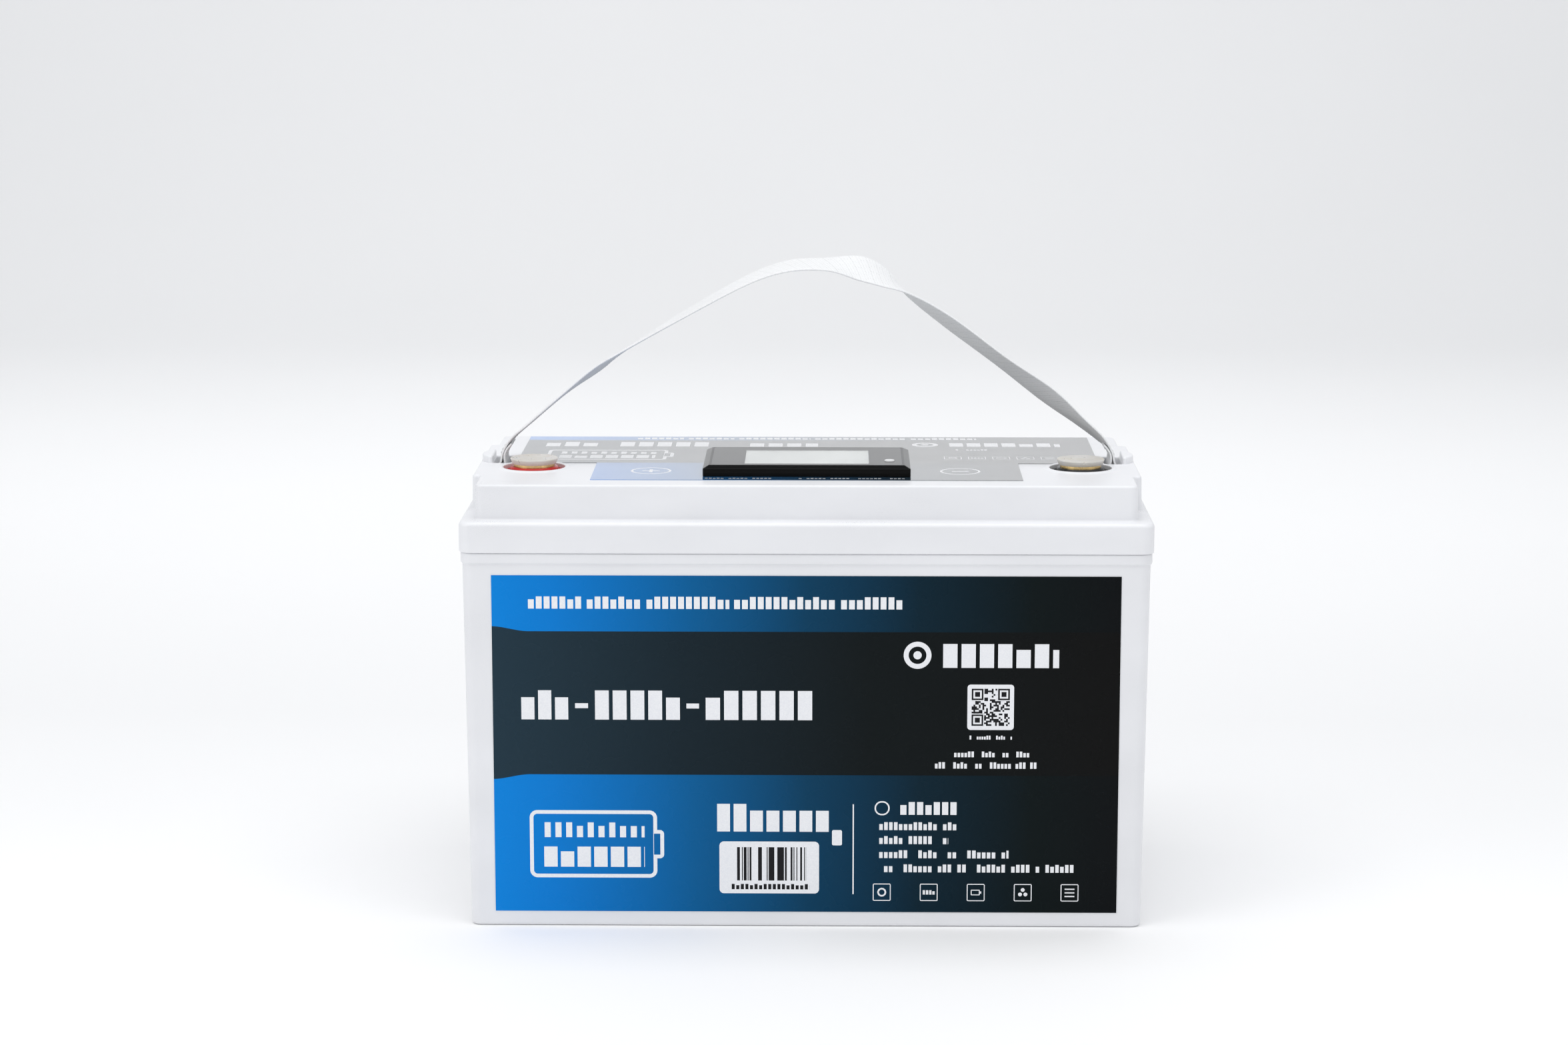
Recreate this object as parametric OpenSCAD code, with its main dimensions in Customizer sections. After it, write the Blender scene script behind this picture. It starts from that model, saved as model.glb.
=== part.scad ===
// Twelve-volt deep cycle battery: moulded case, glued lid, carry strap, recessed
// terminals, status display, and the four-cell pack with its protection board inside.
// Millimetres, +Z up, origin at the middle of the underside, front face towards -Y.

/* [Case] */
// Length over the lid's skirt
case_w = 330; // [328:1:340]
// Depth over the lid's skirt
case_d = 173; // [173:1:180]
// Height of the lid's top face
case_h = 215; // [215:1:225]
// Wall thickness of the moulded case
wall = 2.8; // [2.2:0.1:3]
// Draft of each side between the foot and the collar
draft = 2; // [1:0.1:2.2]

/* [Lid] */
// Height of the raised block above the ledge
block_h = 17; // [16:1:18]
// Width of the ledge around the raised block
ledge = 7; // [6.5:0.1:7.5]
// Depth of the skirt that wraps the case's rim
skirt_h = 15; // [15:1:18]

/* [Terminals] */
// Distance between the two terminals
terminal_pitch = 266.6; // [264:0.2:268]
// How far the terminals lie in front of the middle
terminal_front = 25; // [23:1:27]
// Diameter of the well around each terminal
well_d = 30; // [29:0.5:31]
// Diameter of the terminal's head
post_d = 20; // [18:0.5:20]
// Tapping diameter of the terminal's M8 thread
thread_d = 6.8; // [6.6:0.1:7]

/* [Display] */
// Length of the display's bezel
bezel_w = 100; // [98:1:104]
// Depth of the display's bezel
bezel_d = 63; // [62:1:65]
// Height of the display above the lid
bezel_h = 5.5; // [5:0.1:6]
// Travel of the display's button
button_travel = 0.5; // [0.3:0.1:0.6]

/* [Strap] */
// Width of the webbing
strap_w = 20; // [16:1:20]
// Thickness of one ply of webbing
strap_t = 1.2; // [1:0.1:1.4]
// Distance between the two strap pins
strap_pitch = 301; // [300:0.5:302]

/* [Cells] */
// Thickness of one cell
cell_t = 50; // [46:1:50]
// Width of one cell
cell_w = 156; // [150:1:156]
// Height of one cell's can
cell_h = 118; // [110:1:120]

/* [Hidden] */
$fn = 48;
eps = 0.01;

// Levels of the case and lid
part_z = case_h - block_h - skirt_h;
collar_z = part_z - 5;
ledge_z = part_z + skirt_h;
collar_w = case_w - 1.4;
collar_d = case_d - 1.4;
neck_w = case_w - 3;
neck_d = case_d - 3;
foot_w = neck_w - 2 * draft;
foot_d = neck_d - 2 * draft;
case_r = 5;
foot_chamfer = 1.5;
floor_t = 3;
tongue_h = 5;
roof_t = 3;
block_w = case_w - 15;
block_d = case_d - 2 * ledge;
bulge_w = case_w - 7;
bulge_l = 98;
block_inner_w = block_w - 6;
block_inner_d = block_d - 6;

// Labels
label_t = 0.2;
front_label_w = 299;
front_label_h = 165;
front_label_z = 7.5;
face_tilt = atan(draft / collar_z);
top_label_w = 286;
top_label_back = 76;
tongue_w = 207;
tongue_front = -64;
tongue_back = -11.5;

// Display
bezel_y = -23;
bezel_z = case_h + label_t;
bezel_top = bezel_z + bezel_h - label_t;
bezel_bevel = 3;
cut_w = bezel_w - 8;
cut_d = bezel_d - 9;
panel_w = bezel_w - 8;
panel_d = bezel_d - 8;
panel_t = 1;
lcd_w = 62;
lcd_d = 44;
lcd_y = bezel_y - 2.5;
button_x = 40;
button_y = -38;
button_d = 5;
pcb_z = case_h - 1.5;
pcb_t = 1.6;

// Terminals
terminal_x = terminal_pitch / 2;
terminal_y = -terminal_front;
well_floor = case_h - 6;
floor_slab = 3;
post_top = case_h + 3.2;
shank_d = 12;
shank_hole = shank_d + 0.4;
shank_z = well_floor - 20;
thread_l = 13;
cap_lip = 1;
cap_top = case_h + 4.9;
gasket_t = 1.2;
washer_t = 1.5;
nut_t = 6;
lug_t = 2;
thin_nut_t = 5;
lug_z = well_floor - floor_slab - gasket_t - washer_t - nut_t - lug_t;

// Strap
strap_x = strap_pitch / 2;
slot_w = 9;
slot_l = strap_w + 3;
pin_d = 4;
pin_z = case_h - 7;
pin_l = slot_l + 7;
pocket_floor = case_h - 15;
hinge_z = case_h + 11;
hinge_r = strap_w / 2;
hinge_gap = 0.3;
lug_top = case_h + 3.4;
// Stations along the webbing: place across, height above the lid, twist in degrees
strap_route = [
    [-150.5, -7, 0], [-150.5, 3, 0], [-145.5, 11, -4], [-137, 18.5, -4], [-120, 33, -5],
    [-104, 45, -11], [-91, 54, -5], [-61, 72, 2], [-30, 89, 6], [-10, 96, 9],
    [10, 97, 12], [26, 95, 29], [38, 90, 18], [50, 82, -9], [69, 69, -21],
    [96, 49, -21], [118, 33, -27], [134, 20, -17], [144.5, 11, -11], [150.5, 3, 0],
    [150.5, -7, 0]
];

// Cell pack
spacer_t = 2;
plate_t = 3;
pad_t = 5;
cell_pitch = cell_t + spacer_t;
cell_z = floor_t + pad_t;
cell_top = cell_z + cell_h;
pack_w = 4 * cell_t + 3 * spacer_t;
stud_y = 52;
pad_h = 3;
stud_d = 6;
stud_top = cell_top + 15;
bar_t = 2;
bar_z = cell_top + pad_h;
cell_nut_t = 5;
band_t = 0.5;
band_h = 15;

// Protection board
strip_h = 22;
tray_t = 2;
tray_z = cell_top + strip_h;
board_z = tray_z + tray_t + 6;
board_w = 130;
board_d = 84;
board_t = 1.6;
board_top = board_z + board_t;

// Cables
power_d = 9;
lead_d = 1.6;

// ---------- helpers ----------

// Flat rounded rectangle with true arcs at its corners
module plate_2d(w, d, r) {
    square([w - 2 * r, d], center = true);
    square([w, d - 2 * r], center = true);
    for (sx = [-1, 1], sy = [-1, 1])
        translate([sx * (w / 2 - r), sy * (d / 2 - r)]) circle(r = r);
}

module slab(w, d, r, h) {
    linear_extrude(h) plate_2d(w, d, r);
}

// Solid that blends between two rounded rectangles at two heights
module drafted(w0, d0, z0, w1, d1, z1, r) {
    thin = 0.02;
    hull() {
        translate([0, 0, z0]) slab(w0, d0, r, thin, $fn = 32);
        translate([0, 0, z1 - thin]) slab(w1, d1, r, thin, $fn = 32);
    }
}

module disc(d, h, z = 0) {
    translate([0, 0, z]) cylinder(d = d, h = h);
}

module ring(outer, inner, h, z = 0) {
    difference() {
        disc(outer, h, z);
        disc(inner, h + 2, z - 1);
    }
}

module hex_nut(flats, bore, h) {
    difference() {
        cylinder(d = flats / cos(30), h = h, $fn = 6);
        translate([0, 0, -1]) cylinder(d = bore, h = h + 2);
    }
}

module at_terminals() {
    for (sx = [-1, 1]) translate([sx * terminal_x, terminal_y, 0]) children();
}

// ---------- curves ----------

function unit(v) = v / norm(v);
function last(p) = len(p) - 1;
function clamped(p, i) = p[max(0, min(last(p), i))];

// Point of a Catmull-Rom curve between stations i and i + 1
function rom(p, i, t) =
    let (a = clamped(p, i - 1), b = clamped(p, i), c = clamped(p, i + 1), d = clamped(p, i + 2))
    0.5 * (2 * b + t * (c - a) + t * t * (2 * a - 5 * b + 4 * c - d)
        + t * t * t * (3 * b - a - 3 * c + d));
function smooth(p, n) =
    [for (i = [0 : last(p) - 1], k = [0 : n - 1]) rom(p, i, k / n), p[last(p)]];
function tangent(p, i) = unit(clamped(p, i + 1) - clamped(p, i - 1));
function squared(v, t) = unit(v - (v * t) * t);
// A direction across the curve at each point, carried along without twist
function across(p, start) =
    [for (i = 0, u = squared(start, tangent(p, 0));
          i <= last(p);
          i = i + 1, u = squared(u, tangent(p, min(i, last(p))))) u];

function flipped(f) = [for (k = [last(f) : -1 : 0]) f[k]];

// Closed skin over rings of points of the same count
module skin(rings) {
    n = len(rings[0]);
    m = len(rings);
    points = [for (r = rings, q = r) q];
    sides = [for (j = [0 : m - 2], k = [0 : n - 1])
        let (a = j * n + k, b = j * n + (k + 1) % n)
        each [[a, b, b + n], [a, b + n, a + n]]];
    ends = [[for (k = [n - 1 : -1 : 0]) k], [for (k = [0 : n - 1]) (m - 1) * n + k]];
    polyhedron(points = points, faces = [for (f = concat(sides, ends)) flipped(f)], convexity = 6);
}

// Round cable along a smooth curve through the stations
module cable(route, d, sides = 8, steps = 4) {
    p = smooth(route, steps);
    u = across(p, [0.3, 1, 0.2]);
    skin([for (i = [0 : last(p)])
        let (t = tangent(p, i), v = cross(t, u[i]))
        [for (k = [0 : sides - 1])
            let (a = 360 * k / sides)
            p[i] + d / 2 * (cos(a) * u[i] + sin(a) * v)]]);
}

// Flat webbing along the strap's route, t thick, between two stations of the smoothed curve
module webbing(t, steps = 4, first = 0, end = 1000) {
    p = smooth(strap_route, steps);
    stop = min(end, last(p));
    skin([for (i = [first : stop])
        let (c = [p[i][0], 0, p[i][1] + case_h],
             before = clamped(p, i - 1),
             after = clamped(p, i + 1),
             along = unit([after[0] - before[0], 0, after[1] - before[1]]),
             up = cross(along, [0, 1, 0]) * -1,
             a = cos(p[i][2]) * [0, 1, 0] - sin(p[i][2]) * up,
             b = cross(along, a))
        [for (s = [[-1, -1], [1, -1], [1, 1], [-1, 1]])
            c + s[0] * strap_w / 2 * a + s[1] * t / 2 * b]]);
}

// ---------- case and lid ----------

module case() {
    color("white") difference() {
        union() {
            slab(foot_w - 2 * foot_chamfer, foot_d - 2 * foot_chamfer, case_r - foot_chamfer, 1);
            drafted(foot_w - 2 * foot_chamfer, foot_d - 2 * foot_chamfer, 0.5, foot_w, foot_d,
                foot_chamfer + 0.5, case_r);
            drafted(foot_w, foot_d, foot_chamfer + 0.48, neck_w, neck_d, collar_z + 1, case_r);
            translate([0, 0, collar_z]) slab(collar_w, collar_d, case_r + 0.5, part_z - collar_z);
            translate([0, 0, part_z - 1])
                slab(neck_w - 3, neck_d - 3, case_r - 1.5, tongue_h + 1);
        }
        drafted(foot_w - 2 * wall, foot_d - 2 * wall, floor_t,
            neck_w - 2 * wall, neck_d - 2 * wall, part_z + tongue_h + 1, case_r - wall + 0.5);
    }
}

// Raised lug outside the strap's slot, a shallow D in plan
module strap_lug() {
    out = bulge_w / 2 - 0.7 - strap_x - slot_w / 2;
    half = slot_l / 2 + 2;
    r = (half * half + out * out) / (2 * out);
    soft = 1;
    translate([strap_x + slot_w / 2, 0, case_h - 1]) intersection() {
        translate([out - r, 0, 0]) union() {
            cylinder(r = r, h = lug_top - soft - case_h + 1);
            translate([0, 0, lug_top - soft - case_h + 1])
                cylinder(r1 = r, r2 = r - soft, h = soft);
        }
        translate([0, -half, 0]) cube([out + 1, 2 * half, 20]);
    }
}

module lid_block() {
    edge = 1;
    h = case_h - ledge_z - edge;
    translate([0, 0, ledge_z - roof_t]) slab(block_w, block_d, 4, h + roof_t);
    translate([0, 0, ledge_z - roof_t]) slab(bulge_w, bulge_l, 3, h + roof_t);
    drafted(block_w, block_d, case_h - edge, block_w - 2 * edge, block_d - 2 * edge, case_h, 4);
    drafted(bulge_w, bulge_l, case_h - edge, bulge_w - 2 * edge, bulge_l - 2 * edge, case_h, 3);
}

module lid() {
    shoulder_z = part_z + tongue_h + 1.5;
    rim = 2;
    color("white") difference() {
        union() {
            difference() {
                union() {
                    translate([0, 0, part_z + 0.1]) slab(case_w, case_d, case_r + 1, skirt_h - rim - 0.1);
                    drafted(case_w, case_d, ledge_z - rim, case_w - 2 * rim, case_d - 2 * rim,
                        ledge_z, case_r + 1);
                    lid_block();
                }
                // inside of the skirt, shoulder over the seal, and inside of the block
                translate([0, 0, part_z - 1])
                    slab(neck_w - 2, neck_d - 2, case_r - 1, shoulder_z - part_z + 1);
                translate([0, 0, part_z]) slab(neck_w - 8, neck_d - 8, 3, ledge_z - roof_t - part_z);
                translate([0, 0, part_z]) slab(block_inner_w, block_inner_d, 3, case_h - roof_t - part_z);
            }
            // wells and their raised rims
            at_terminals() {
                disc(well_d + 6, case_h - well_floor + floor_slab - 1, well_floor - floor_slab);
                disc(well_d + 5, 0.6, case_h - eps);
            }
            // pockets below the strap's slots
            for (sx = [-1, 1]) translate([sx * (strap_x + 0.5), 0, pocket_floor - 2])
                linear_extrude(case_h - pocket_floor) square([slot_w + 5, slot_l + 9], center = true);
            strap_lug();
            mirror([1, 0, 0]) strap_lug();
        }
        at_terminals() {
            disc(well_d, 20, well_floor);
            disc(shank_hole, 20, well_floor - 10);
        }
        for (sx = [-1, 1]) translate([sx * strap_x, 0, 0]) {
            translate([-slot_w / 2, -slot_l / 2, pocket_floor]) cube([slot_w, slot_l, 40]);
            translate([0, pin_l / 2, pin_z]) rotate([90, 0, 0]) cylinder(d = pin_d + 0.1, h = pin_l);
        }
        translate([0, bezel_y, case_h - 10]) linear_extrude(20) plate_2d(cut_w, cut_d, 2);
    }
}

module lid_seal() {
    h = 1.5;
    color("gainsboro") translate([0, 0, part_z + tongue_h]) difference() {
        slab(neck_w - 3, neck_d - 3, case_r - 1.5, h);
        translate([0, 0, -1]) slab(neck_w - 7, neck_d - 7, case_r - 3, h + 2);
    }
}

// ---------- labels ----------

module front_label() {
    color("navy") translate([0, -foot_d / 2, 0]) rotate([face_tilt, 0, 0])
        translate([-front_label_w / 2, -label_t - 0.04, front_label_z])
            cube([front_label_w, label_t, front_label_h]);
}

module top_label() {
    color("dimgray") translate([0, 0, case_h]) linear_extrude(label_t) difference() {
        union() {
            translate([-top_label_w / 2, tongue_back]) square([top_label_w, top_label_back - tongue_back]);
            translate([-tongue_w / 2, tongue_front]) square([tongue_w, tongue_back - tongue_front + 1]);
        }
        translate([0, bezel_y]) plate_2d(cut_w, cut_d, 2);
        for (sx = [-1, 1]) translate([sx * terminal_x, terminal_y]) circle(d = well_d + 6);
    }
}

// ---------- display ----------

module display_bezel() {
    skirt_t = 1.5;
    color("black") translate([0, bezel_y, 0]) difference() {
        union() {
            translate([0, 0, bezel_z]) slab(bezel_w, bezel_d, 1, bezel_h - 1.5 - label_t);
            drafted(bezel_w, bezel_d, bezel_top - 1.5, bezel_w - 2 * bezel_bevel,
                bezel_d - 2 * bezel_bevel, bezel_top, 1);
            translate([0, 0, case_h - 8]) slab(cut_w - 0.4, cut_d - 0.4, 2, 8 + label_t + 1);
        }
        translate([0, 0, bezel_top - panel_t]) slab(panel_w, panel_d, 1, 5);
        translate([0, 0, case_h - 9]) slab(cut_w - 0.4 - 2 * skirt_t, cut_d - 0.4 - 2 * skirt_t, 1, 20);
    }
}

module display_window() {
    color("dimgray") translate([0, 0, bezel_top - panel_t]) difference() {
        translate([0, bezel_y, 0]) slab(panel_w, panel_d, 1, panel_t);
        translate([button_x, button_y, -1]) cylinder(d = button_d + 0.3, h = panel_t + 2);
    }
}

module display_lcd() {
    color("whitesmoke") translate([-lcd_w / 2, lcd_y - lcd_d / 2, bezel_top - panel_t - 2.6])
        cube([lcd_w, lcd_d, 2.5]);
}

module display_board() {
    color("darkgreen") translate([0, bezel_y, pcb_z]) slab(cut_w - 4, cut_d - 4, 1, pcb_t);
}

module display_switch() {
    color("silver") translate([button_x, button_y, pcb_z + pcb_t]) {
        translate([-3, -3, 0]) cube([6, 6, 1]);
        disc(3, 1.2);
    }
}

module display_button() {
    stem_z = pcb_z + pcb_t + 1.2 + button_travel + 0.1;
    color("white") translate([button_x, button_y, 0]) {
        disc(button_d, bezel_top + 0.6 - stem_z, stem_z);
        disc(button_d + 1.6, 0.8, bezel_top - panel_t - 0.9);
    }
}

module display_back_cover() {
    color("black") translate([0, bezel_y, case_h - 9.6]) difference() {
        slab(cut_w - 0.4, cut_d - 0.4, 2, 1.5);
        for (sx = [-1, 1], sy = [-1, 1])
            translate([sx * (cut_w / 2 - 5), sy * (cut_d / 2 - 5), -1]) cylinder(d = 2.6, h = 4);
        translate([20, 0, -1]) cylinder(d = 6, h = 4);
    }
}

module display_screws() {
    color("silver") for (sx = [-1, 1], sy = [-1, 1])
        translate([sx * (cut_w / 2 - 5), bezel_y + sy * (cut_d / 2 - 5), 0]) {
            disc(2.5, pcb_z - case_h + 9.6, case_h - 9.6);
            disc(5, 1.4, case_h - 11);
        }
}

// ---------- terminals ----------

module post() {
    color("goldenrod") difference() {
        union() {
            disc(post_d, post_top - well_floor - 0.8, well_floor);
            translate([0, 0, post_top - 0.8]) cylinder(d1 = post_d, d2 = post_d - 1.6, h = 0.8);
            disc(shank_d, well_floor - shank_z + 1, shank_z);
        }
        disc(thread_d, thread_l + 1, post_top - thread_l);
    }
}

module terminal_positive() {
    translate([-terminal_x, terminal_y, 0]) post();
}

module terminal_negative() {
    translate([terminal_x, terminal_y, 0]) post();
}

module terminal_seal(side, paint) {
    color(paint) translate([side * terminal_x, terminal_y, 0])
        ring(well_d, post_d, 4.6, well_floor);
}

module terminal_cap(side) {
    color("gainsboro", 0.6) translate([side * terminal_x, terminal_y, 0]) difference() {
        translate([0, 0, post_top - cap_lip])
            cylinder(d1 = post_d + 1.6, d2 = post_d + 3.2, h = cap_top - post_top + cap_lip);
        disc(post_d + 0.3, cap_lip + 0.1, post_top - cap_lip);
    }
}

module terminal_gaskets() {
    color("black") at_terminals()
        ring(20, shank_hole, gasket_t, well_floor - floor_slab - gasket_t);
}

module terminal_washers() {
    color("silver") at_terminals()
        ring(22, shank_hole, washer_t, well_floor - floor_slab - gasket_t - washer_t);
}

module terminal_nuts() {
    color("silver") at_terminals()
        translate([0, 0, lug_z + lug_t]) hex_nut(19, shank_hole, nut_t);
}

module terminal_lock_nuts() {
    color("silver") at_terminals()
        translate([0, 0, lug_z - thin_nut_t]) hex_nut(18, shank_hole, thin_nut_t);
}

// ---------- carry strap ----------

module hinge_cut(r) {
    translate([-case_w / 2, 0, hinge_z]) rotate([0, 90, 0]) cylinder(r = r, h = case_w);
}

// Room below the hinge line that the moving webbing never enters
module below_hinge(r) {
    translate([-case_w / 2, -r, 0]) cube([case_w, 2 * r, hinge_z]);
}

module carry_strap() {
    color("white") difference() {
        webbing(strap_t, first = 4, end = 4 * last(strap_route) - 4);
        hinge_cut(hinge_r + hinge_gap);
        below_hinge(hinge_r + hinge_gap + 1);
    }
}

// Folded end of the webbing: sewn double above the pin, one turn around it
module strap_loop(side) {
    steps = 4;
    joint = steps;
    stops = 4 * steps - 1;
    start = side < 0 ? joint : steps * last(strap_route) - stops;
    end = side < 0 ? stops : steps * last(strap_route) - joint;
    ply_z = case_h + 5;
    color("white") {
        intersection() {
            webbing(2 * strap_t, steps, start, end);
            union() {
                hinge_cut(hinge_r);
                below_hinge(hinge_r);
            }
        }
        translate([side * strap_x, 0, pin_z]) rotate([90, 0, 0])
            linear_extrude(strap_w, center = true) difference() {
                union() {
                    circle(d = pin_d + 2 * strap_t + 0.1);
                    translate([-strap_t, 0]) square([2 * strap_t, ply_z - pin_z]);
                }
                circle(d = pin_d + 0.1);
            }
    }
}

module strap_pin(side) {
    color("silver") translate([side * strap_x, pin_l / 2, pin_z])
        rotate([90, 0, 0]) cylinder(d = pin_d, h = pin_l);
}

// ---------- cell pack ----------

function cell_x(i) = (i - 2.5) * cell_pitch;

module cell(i) {
    color("royalblue") translate([cell_x(i), 0, cell_z]) slab(cell_t, cell_w, 2, cell_h);
}

module at_studs() {
    for (i = [1 : 4], sy = [-1, 1]) translate([cell_x(i), sy * stud_y, 0]) children();
}

module cell_terminals() {
    color("lightgray") at_studs() {
        disc(20, pad_h, cell_top);
        disc(stud_d, stud_top - cell_top - 1, cell_top + 1);
    }
}

module cell_vents() {
    color("gray") for (i = [1 : 4]) translate([cell_x(i), 0, cell_top]) {
        slab(14, 24, 6.9, 0.6);
    }
}

module cell_spacers() {
    color("khaki") for (i = [1 : 3]) translate([cell_x(i) + cell_t / 2, -cell_w / 2, cell_z])
        cube([spacer_t, cell_w, cell_h]);
}

module end_plate(side) {
    color("khaki") translate([side * (pack_w / 2 + plate_t / 2), 0, cell_z + cell_h / 2])
        cube([plate_t, cell_w, cell_h], center = true);
}

module pack_bands() {
    w = pack_w + 2 * plate_t;
    color("white") for (z = [cell_z + 25, cell_z + 80]) translate([0, 0, z]) difference() {
        slab(w + 2 * band_t, cell_w + 2 * band_t, 1, band_h);
        translate([0, 0, -1]) linear_extrude(band_h + 2) square([w, cell_w], center = true);
    }
}

// Bar between neighbouring cells i and i + 1, with its two stud holes
module busbar(i) {
    y = (i % 2 == 1 ? 1 : -1) * stud_y;
    color("orange") translate([cell_x(i) + cell_pitch / 2, y, bar_z]) difference() {
        slab(cell_pitch + 20, 20, 4, bar_t);
        for (sx = [-1, 1]) translate([sx * cell_pitch / 2, 0, -1])
            cylinder(d = stud_d + 0.4, h = bar_t + 2);
    }
}

module cell_nuts() {
    color("silver") at_studs()
        translate([0, 0, bar_z + bar_t]) hex_nut(10, stud_d + 0.4, cell_nut_t);
}

module foam_base() {
    color("dimgray") translate([0, 0, floor_t])
        slab(foot_w - 2 * wall - 2, foot_d - 2 * wall - 2, 2, pad_t);
}

module foam_end(side) {
    x0 = pack_w / 2 + plate_t + 1;
    x1 = foot_w / 2 - wall - 1;
    color("dimgray") translate([side * (x0 + x1) / 2, 0, cell_z])
        slab(x1 - x0, foot_d - 2 * wall - 4, 2, cell_h);
}

module foam_strips() {
    color("dimgray") for (sy = [-1, 1])
        translate([-pack_w / 2, sy * 26 - 11, cell_top]) cube([pack_w, 22, strip_h]);
}

// ---------- protection board ----------

module board_corners(inset) {
    for (sx = [-1, 1], sy = [-1, 1])
        translate([sx * (board_w / 2 - inset), sy * (board_d / 2 - inset), 0]) children();
}

module board_tray() {
    color("seagreen") translate([0, 0, tray_z]) difference() {
        slab(pack_w, 100, 4, tray_t);
        board_corners(5) translate([0, 0, -1]) cylinder(d = 3.2, h = tray_t + 2);
    }
}

module board_standoffs() {
    color("gold") board_corners(5)
        ring(6, 3, board_z - tray_z - tray_t, tray_z + tray_t);
}

module protection_board() {
    color("darkgreen") translate([0, 0, board_z]) difference() {
        slab(board_w, board_d, 2, board_t);
        board_corners(5) translate([0, 0, -1]) cylinder(d = 3.2, h = board_t + 2);
    }
}

module board_transistors() {
    color("black") for (i = [0 : 7], sy = [-1, 1])
        translate([-28 + i * 12, sy * 15 - 5.5, board_top]) cube([9, 11, 4.5]);
}

module board_heat_sink() {
    fins = 9;
    color("silver") translate([-33, -24, board_top + 4.5]) {
        cube([104 - 5, 48, 3]);
        for (i = [0 : fins - 1]) translate([0, i * 5.75, 2.5]) cube([99, 2, 8.5]);
    }
}

module board_screws() {
    color("silver") board_corners(5) {
        disc(2.9, board_top - tray_z, tray_z);
        disc(5.6, 2.2, board_top);
    }
}

module balance_socket() {
    color("ivory") translate([-50, -8, board_top]) difference() {
        cube([7, 16, 7]);
        translate([1, 1, 1]) cube([5, 14, 10]);
    }
}

// ---------- cables ----------

socket_x = -46.5;

module balance_leads() {
    // one lead from the pack's ends and from each bar, side by side into the socket
    ends = [[cell_x(1), -stud_y], [cell_x(1) + 26, stud_y], [cell_x(2) + 26, -stud_y],
            [cell_x(3) + 26, stud_y], [cell_x(4), -stud_y]];
    tops = [-4.8, 2.4, -2.4, 4.8, 0];
    runs = [-84, -78, -74, -72, -68];
    color("firebrick") for (k = [0 : 4]) {
        e = ends[k];
        s = sign(e[1]);
        rise = bar_z + bar_t + 1.5;
        cable([[e[0], e[1] + s * 7.6, rise], [e[0] - 3, e[1] + s * 12, rise + 4],
               [e[0] - 8, e[1] + s * 15, tray_z + 4 + 2 * k],
               [runs[k], s * 50, tray_z + 6 + 2.5 * k],
               [runs[k], tops[k] + s * 14, board_top + 10 + 2.5 * k],
               [socket_x - 8, tops[k], board_top + 16], [socket_x, tops[k], board_top + 12],
               [socket_x, tops[k], board_top + 1.4]], lead_d, 6, 3);
    }
}

lug_barrel = 10;

// Ring lug lying flat, its barrel towards dir (a turn about Z in degrees)
module lug(bore, outer, turn) {
    rotate([0, 0, turn]) {
        difference() {
            union() {
                disc(outer, lug_t);
                translate([0, -4, 0]) cube([outer / 2 + 4, 8, lug_t]);
            }
            disc(bore, 10, -1);
        }
        translate([outer / 2 + 2, 0, 5]) rotate([0, 90, 0]) difference() {
            cylinder(d = power_d + 2.4, h = lug_barrel);
            translate([0, 0, 2]) cylinder(d = power_d + 0.4, h = lug_barrel);
        }
        translate([outer / 2 + 2, -4, 0]) cube([2, 8, 5]);
    }
}

module cable_lugs() {
    z = bar_z;
    color("lightgray") {
        translate([-terminal_x, terminal_y, lug_z + lug_t]) mirror([0, 0, 1]) lug(shank_hole, 22, 0);
        translate([terminal_x, terminal_y, lug_z + lug_t]) mirror([0, 0, 1]) lug(shank_hole, 22, 180);
        translate([cell_x(1), -stud_y, z]) lug(stud_d + 0.4, 18, 180);
        translate([cell_x(4), -stud_y, z]) lug(stud_d + 0.4, 18, 0);
    }
}

// Ends of the cables inside their lugs
lug_grip = 2;
terminal_end = terminal_x - 22 / 2 - 2 - lug_grip;
terminal_end_z = lug_z + lug_t - 5;
stud_end = -cell_x(1) + 18 / 2 + 2 + lug_grip;
stud_end_z = bar_z + 5;

module cable_positive() {
    color("red") cable([[-terminal_end, terminal_y, terminal_end_z],
        [-terminal_end + 8, terminal_y, terminal_end_z],
        [-terminal_end + 12, terminal_y, terminal_end_z],
        [-terminal_end + 26, terminal_y - 4, terminal_end_z - 10],
        [-96, terminal_y - 14, terminal_end_z - 30], [-116, -50, stud_end_z + 16],
        [-stud_end - 18, -stud_y, stud_end_z + 2], [-stud_end - 12, -stud_y, stud_end_z],
        [-stud_end - 8, -stud_y, stud_end_z], [-stud_end, -stud_y, stud_end_z]],
        power_d, 12, 4);
}

module cable_pack_negative() {
    color("black") cable([[stud_end, -stud_y, stud_end_z],
        [stud_end + 8, -stud_y, stud_end_z], [stud_end + 12, -stud_y, stud_end_z],
        [stud_end + 22, -46, stud_end_z + 8], [stud_end + 16, -36, stud_end_z + 26],
        [stud_end + 2, -30, board_top + 9], [74, -30, board_top + 6], [60, -30, board_top + 5.5],
        [50, -30, board_top + 4.7]], power_d, 12, 4);
}

module cable_negative() {
    color("black") cable([[terminal_end, terminal_y, terminal_end_z],
        [terminal_end - 8, terminal_y, terminal_end_z],
        [terminal_end - 12, terminal_y, terminal_end_z],
        [terminal_end - 24, terminal_y + 8, terminal_end_z - 4],
        [terminal_end - 26, terminal_y + 30, terminal_end_z - 12],
        [88, 24, board_top + 12], [74, 30, board_top + 6], [60, 30, board_top + 5.5],
        [50, 30, board_top + 4.7]], power_d, 12, 4);
}

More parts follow.
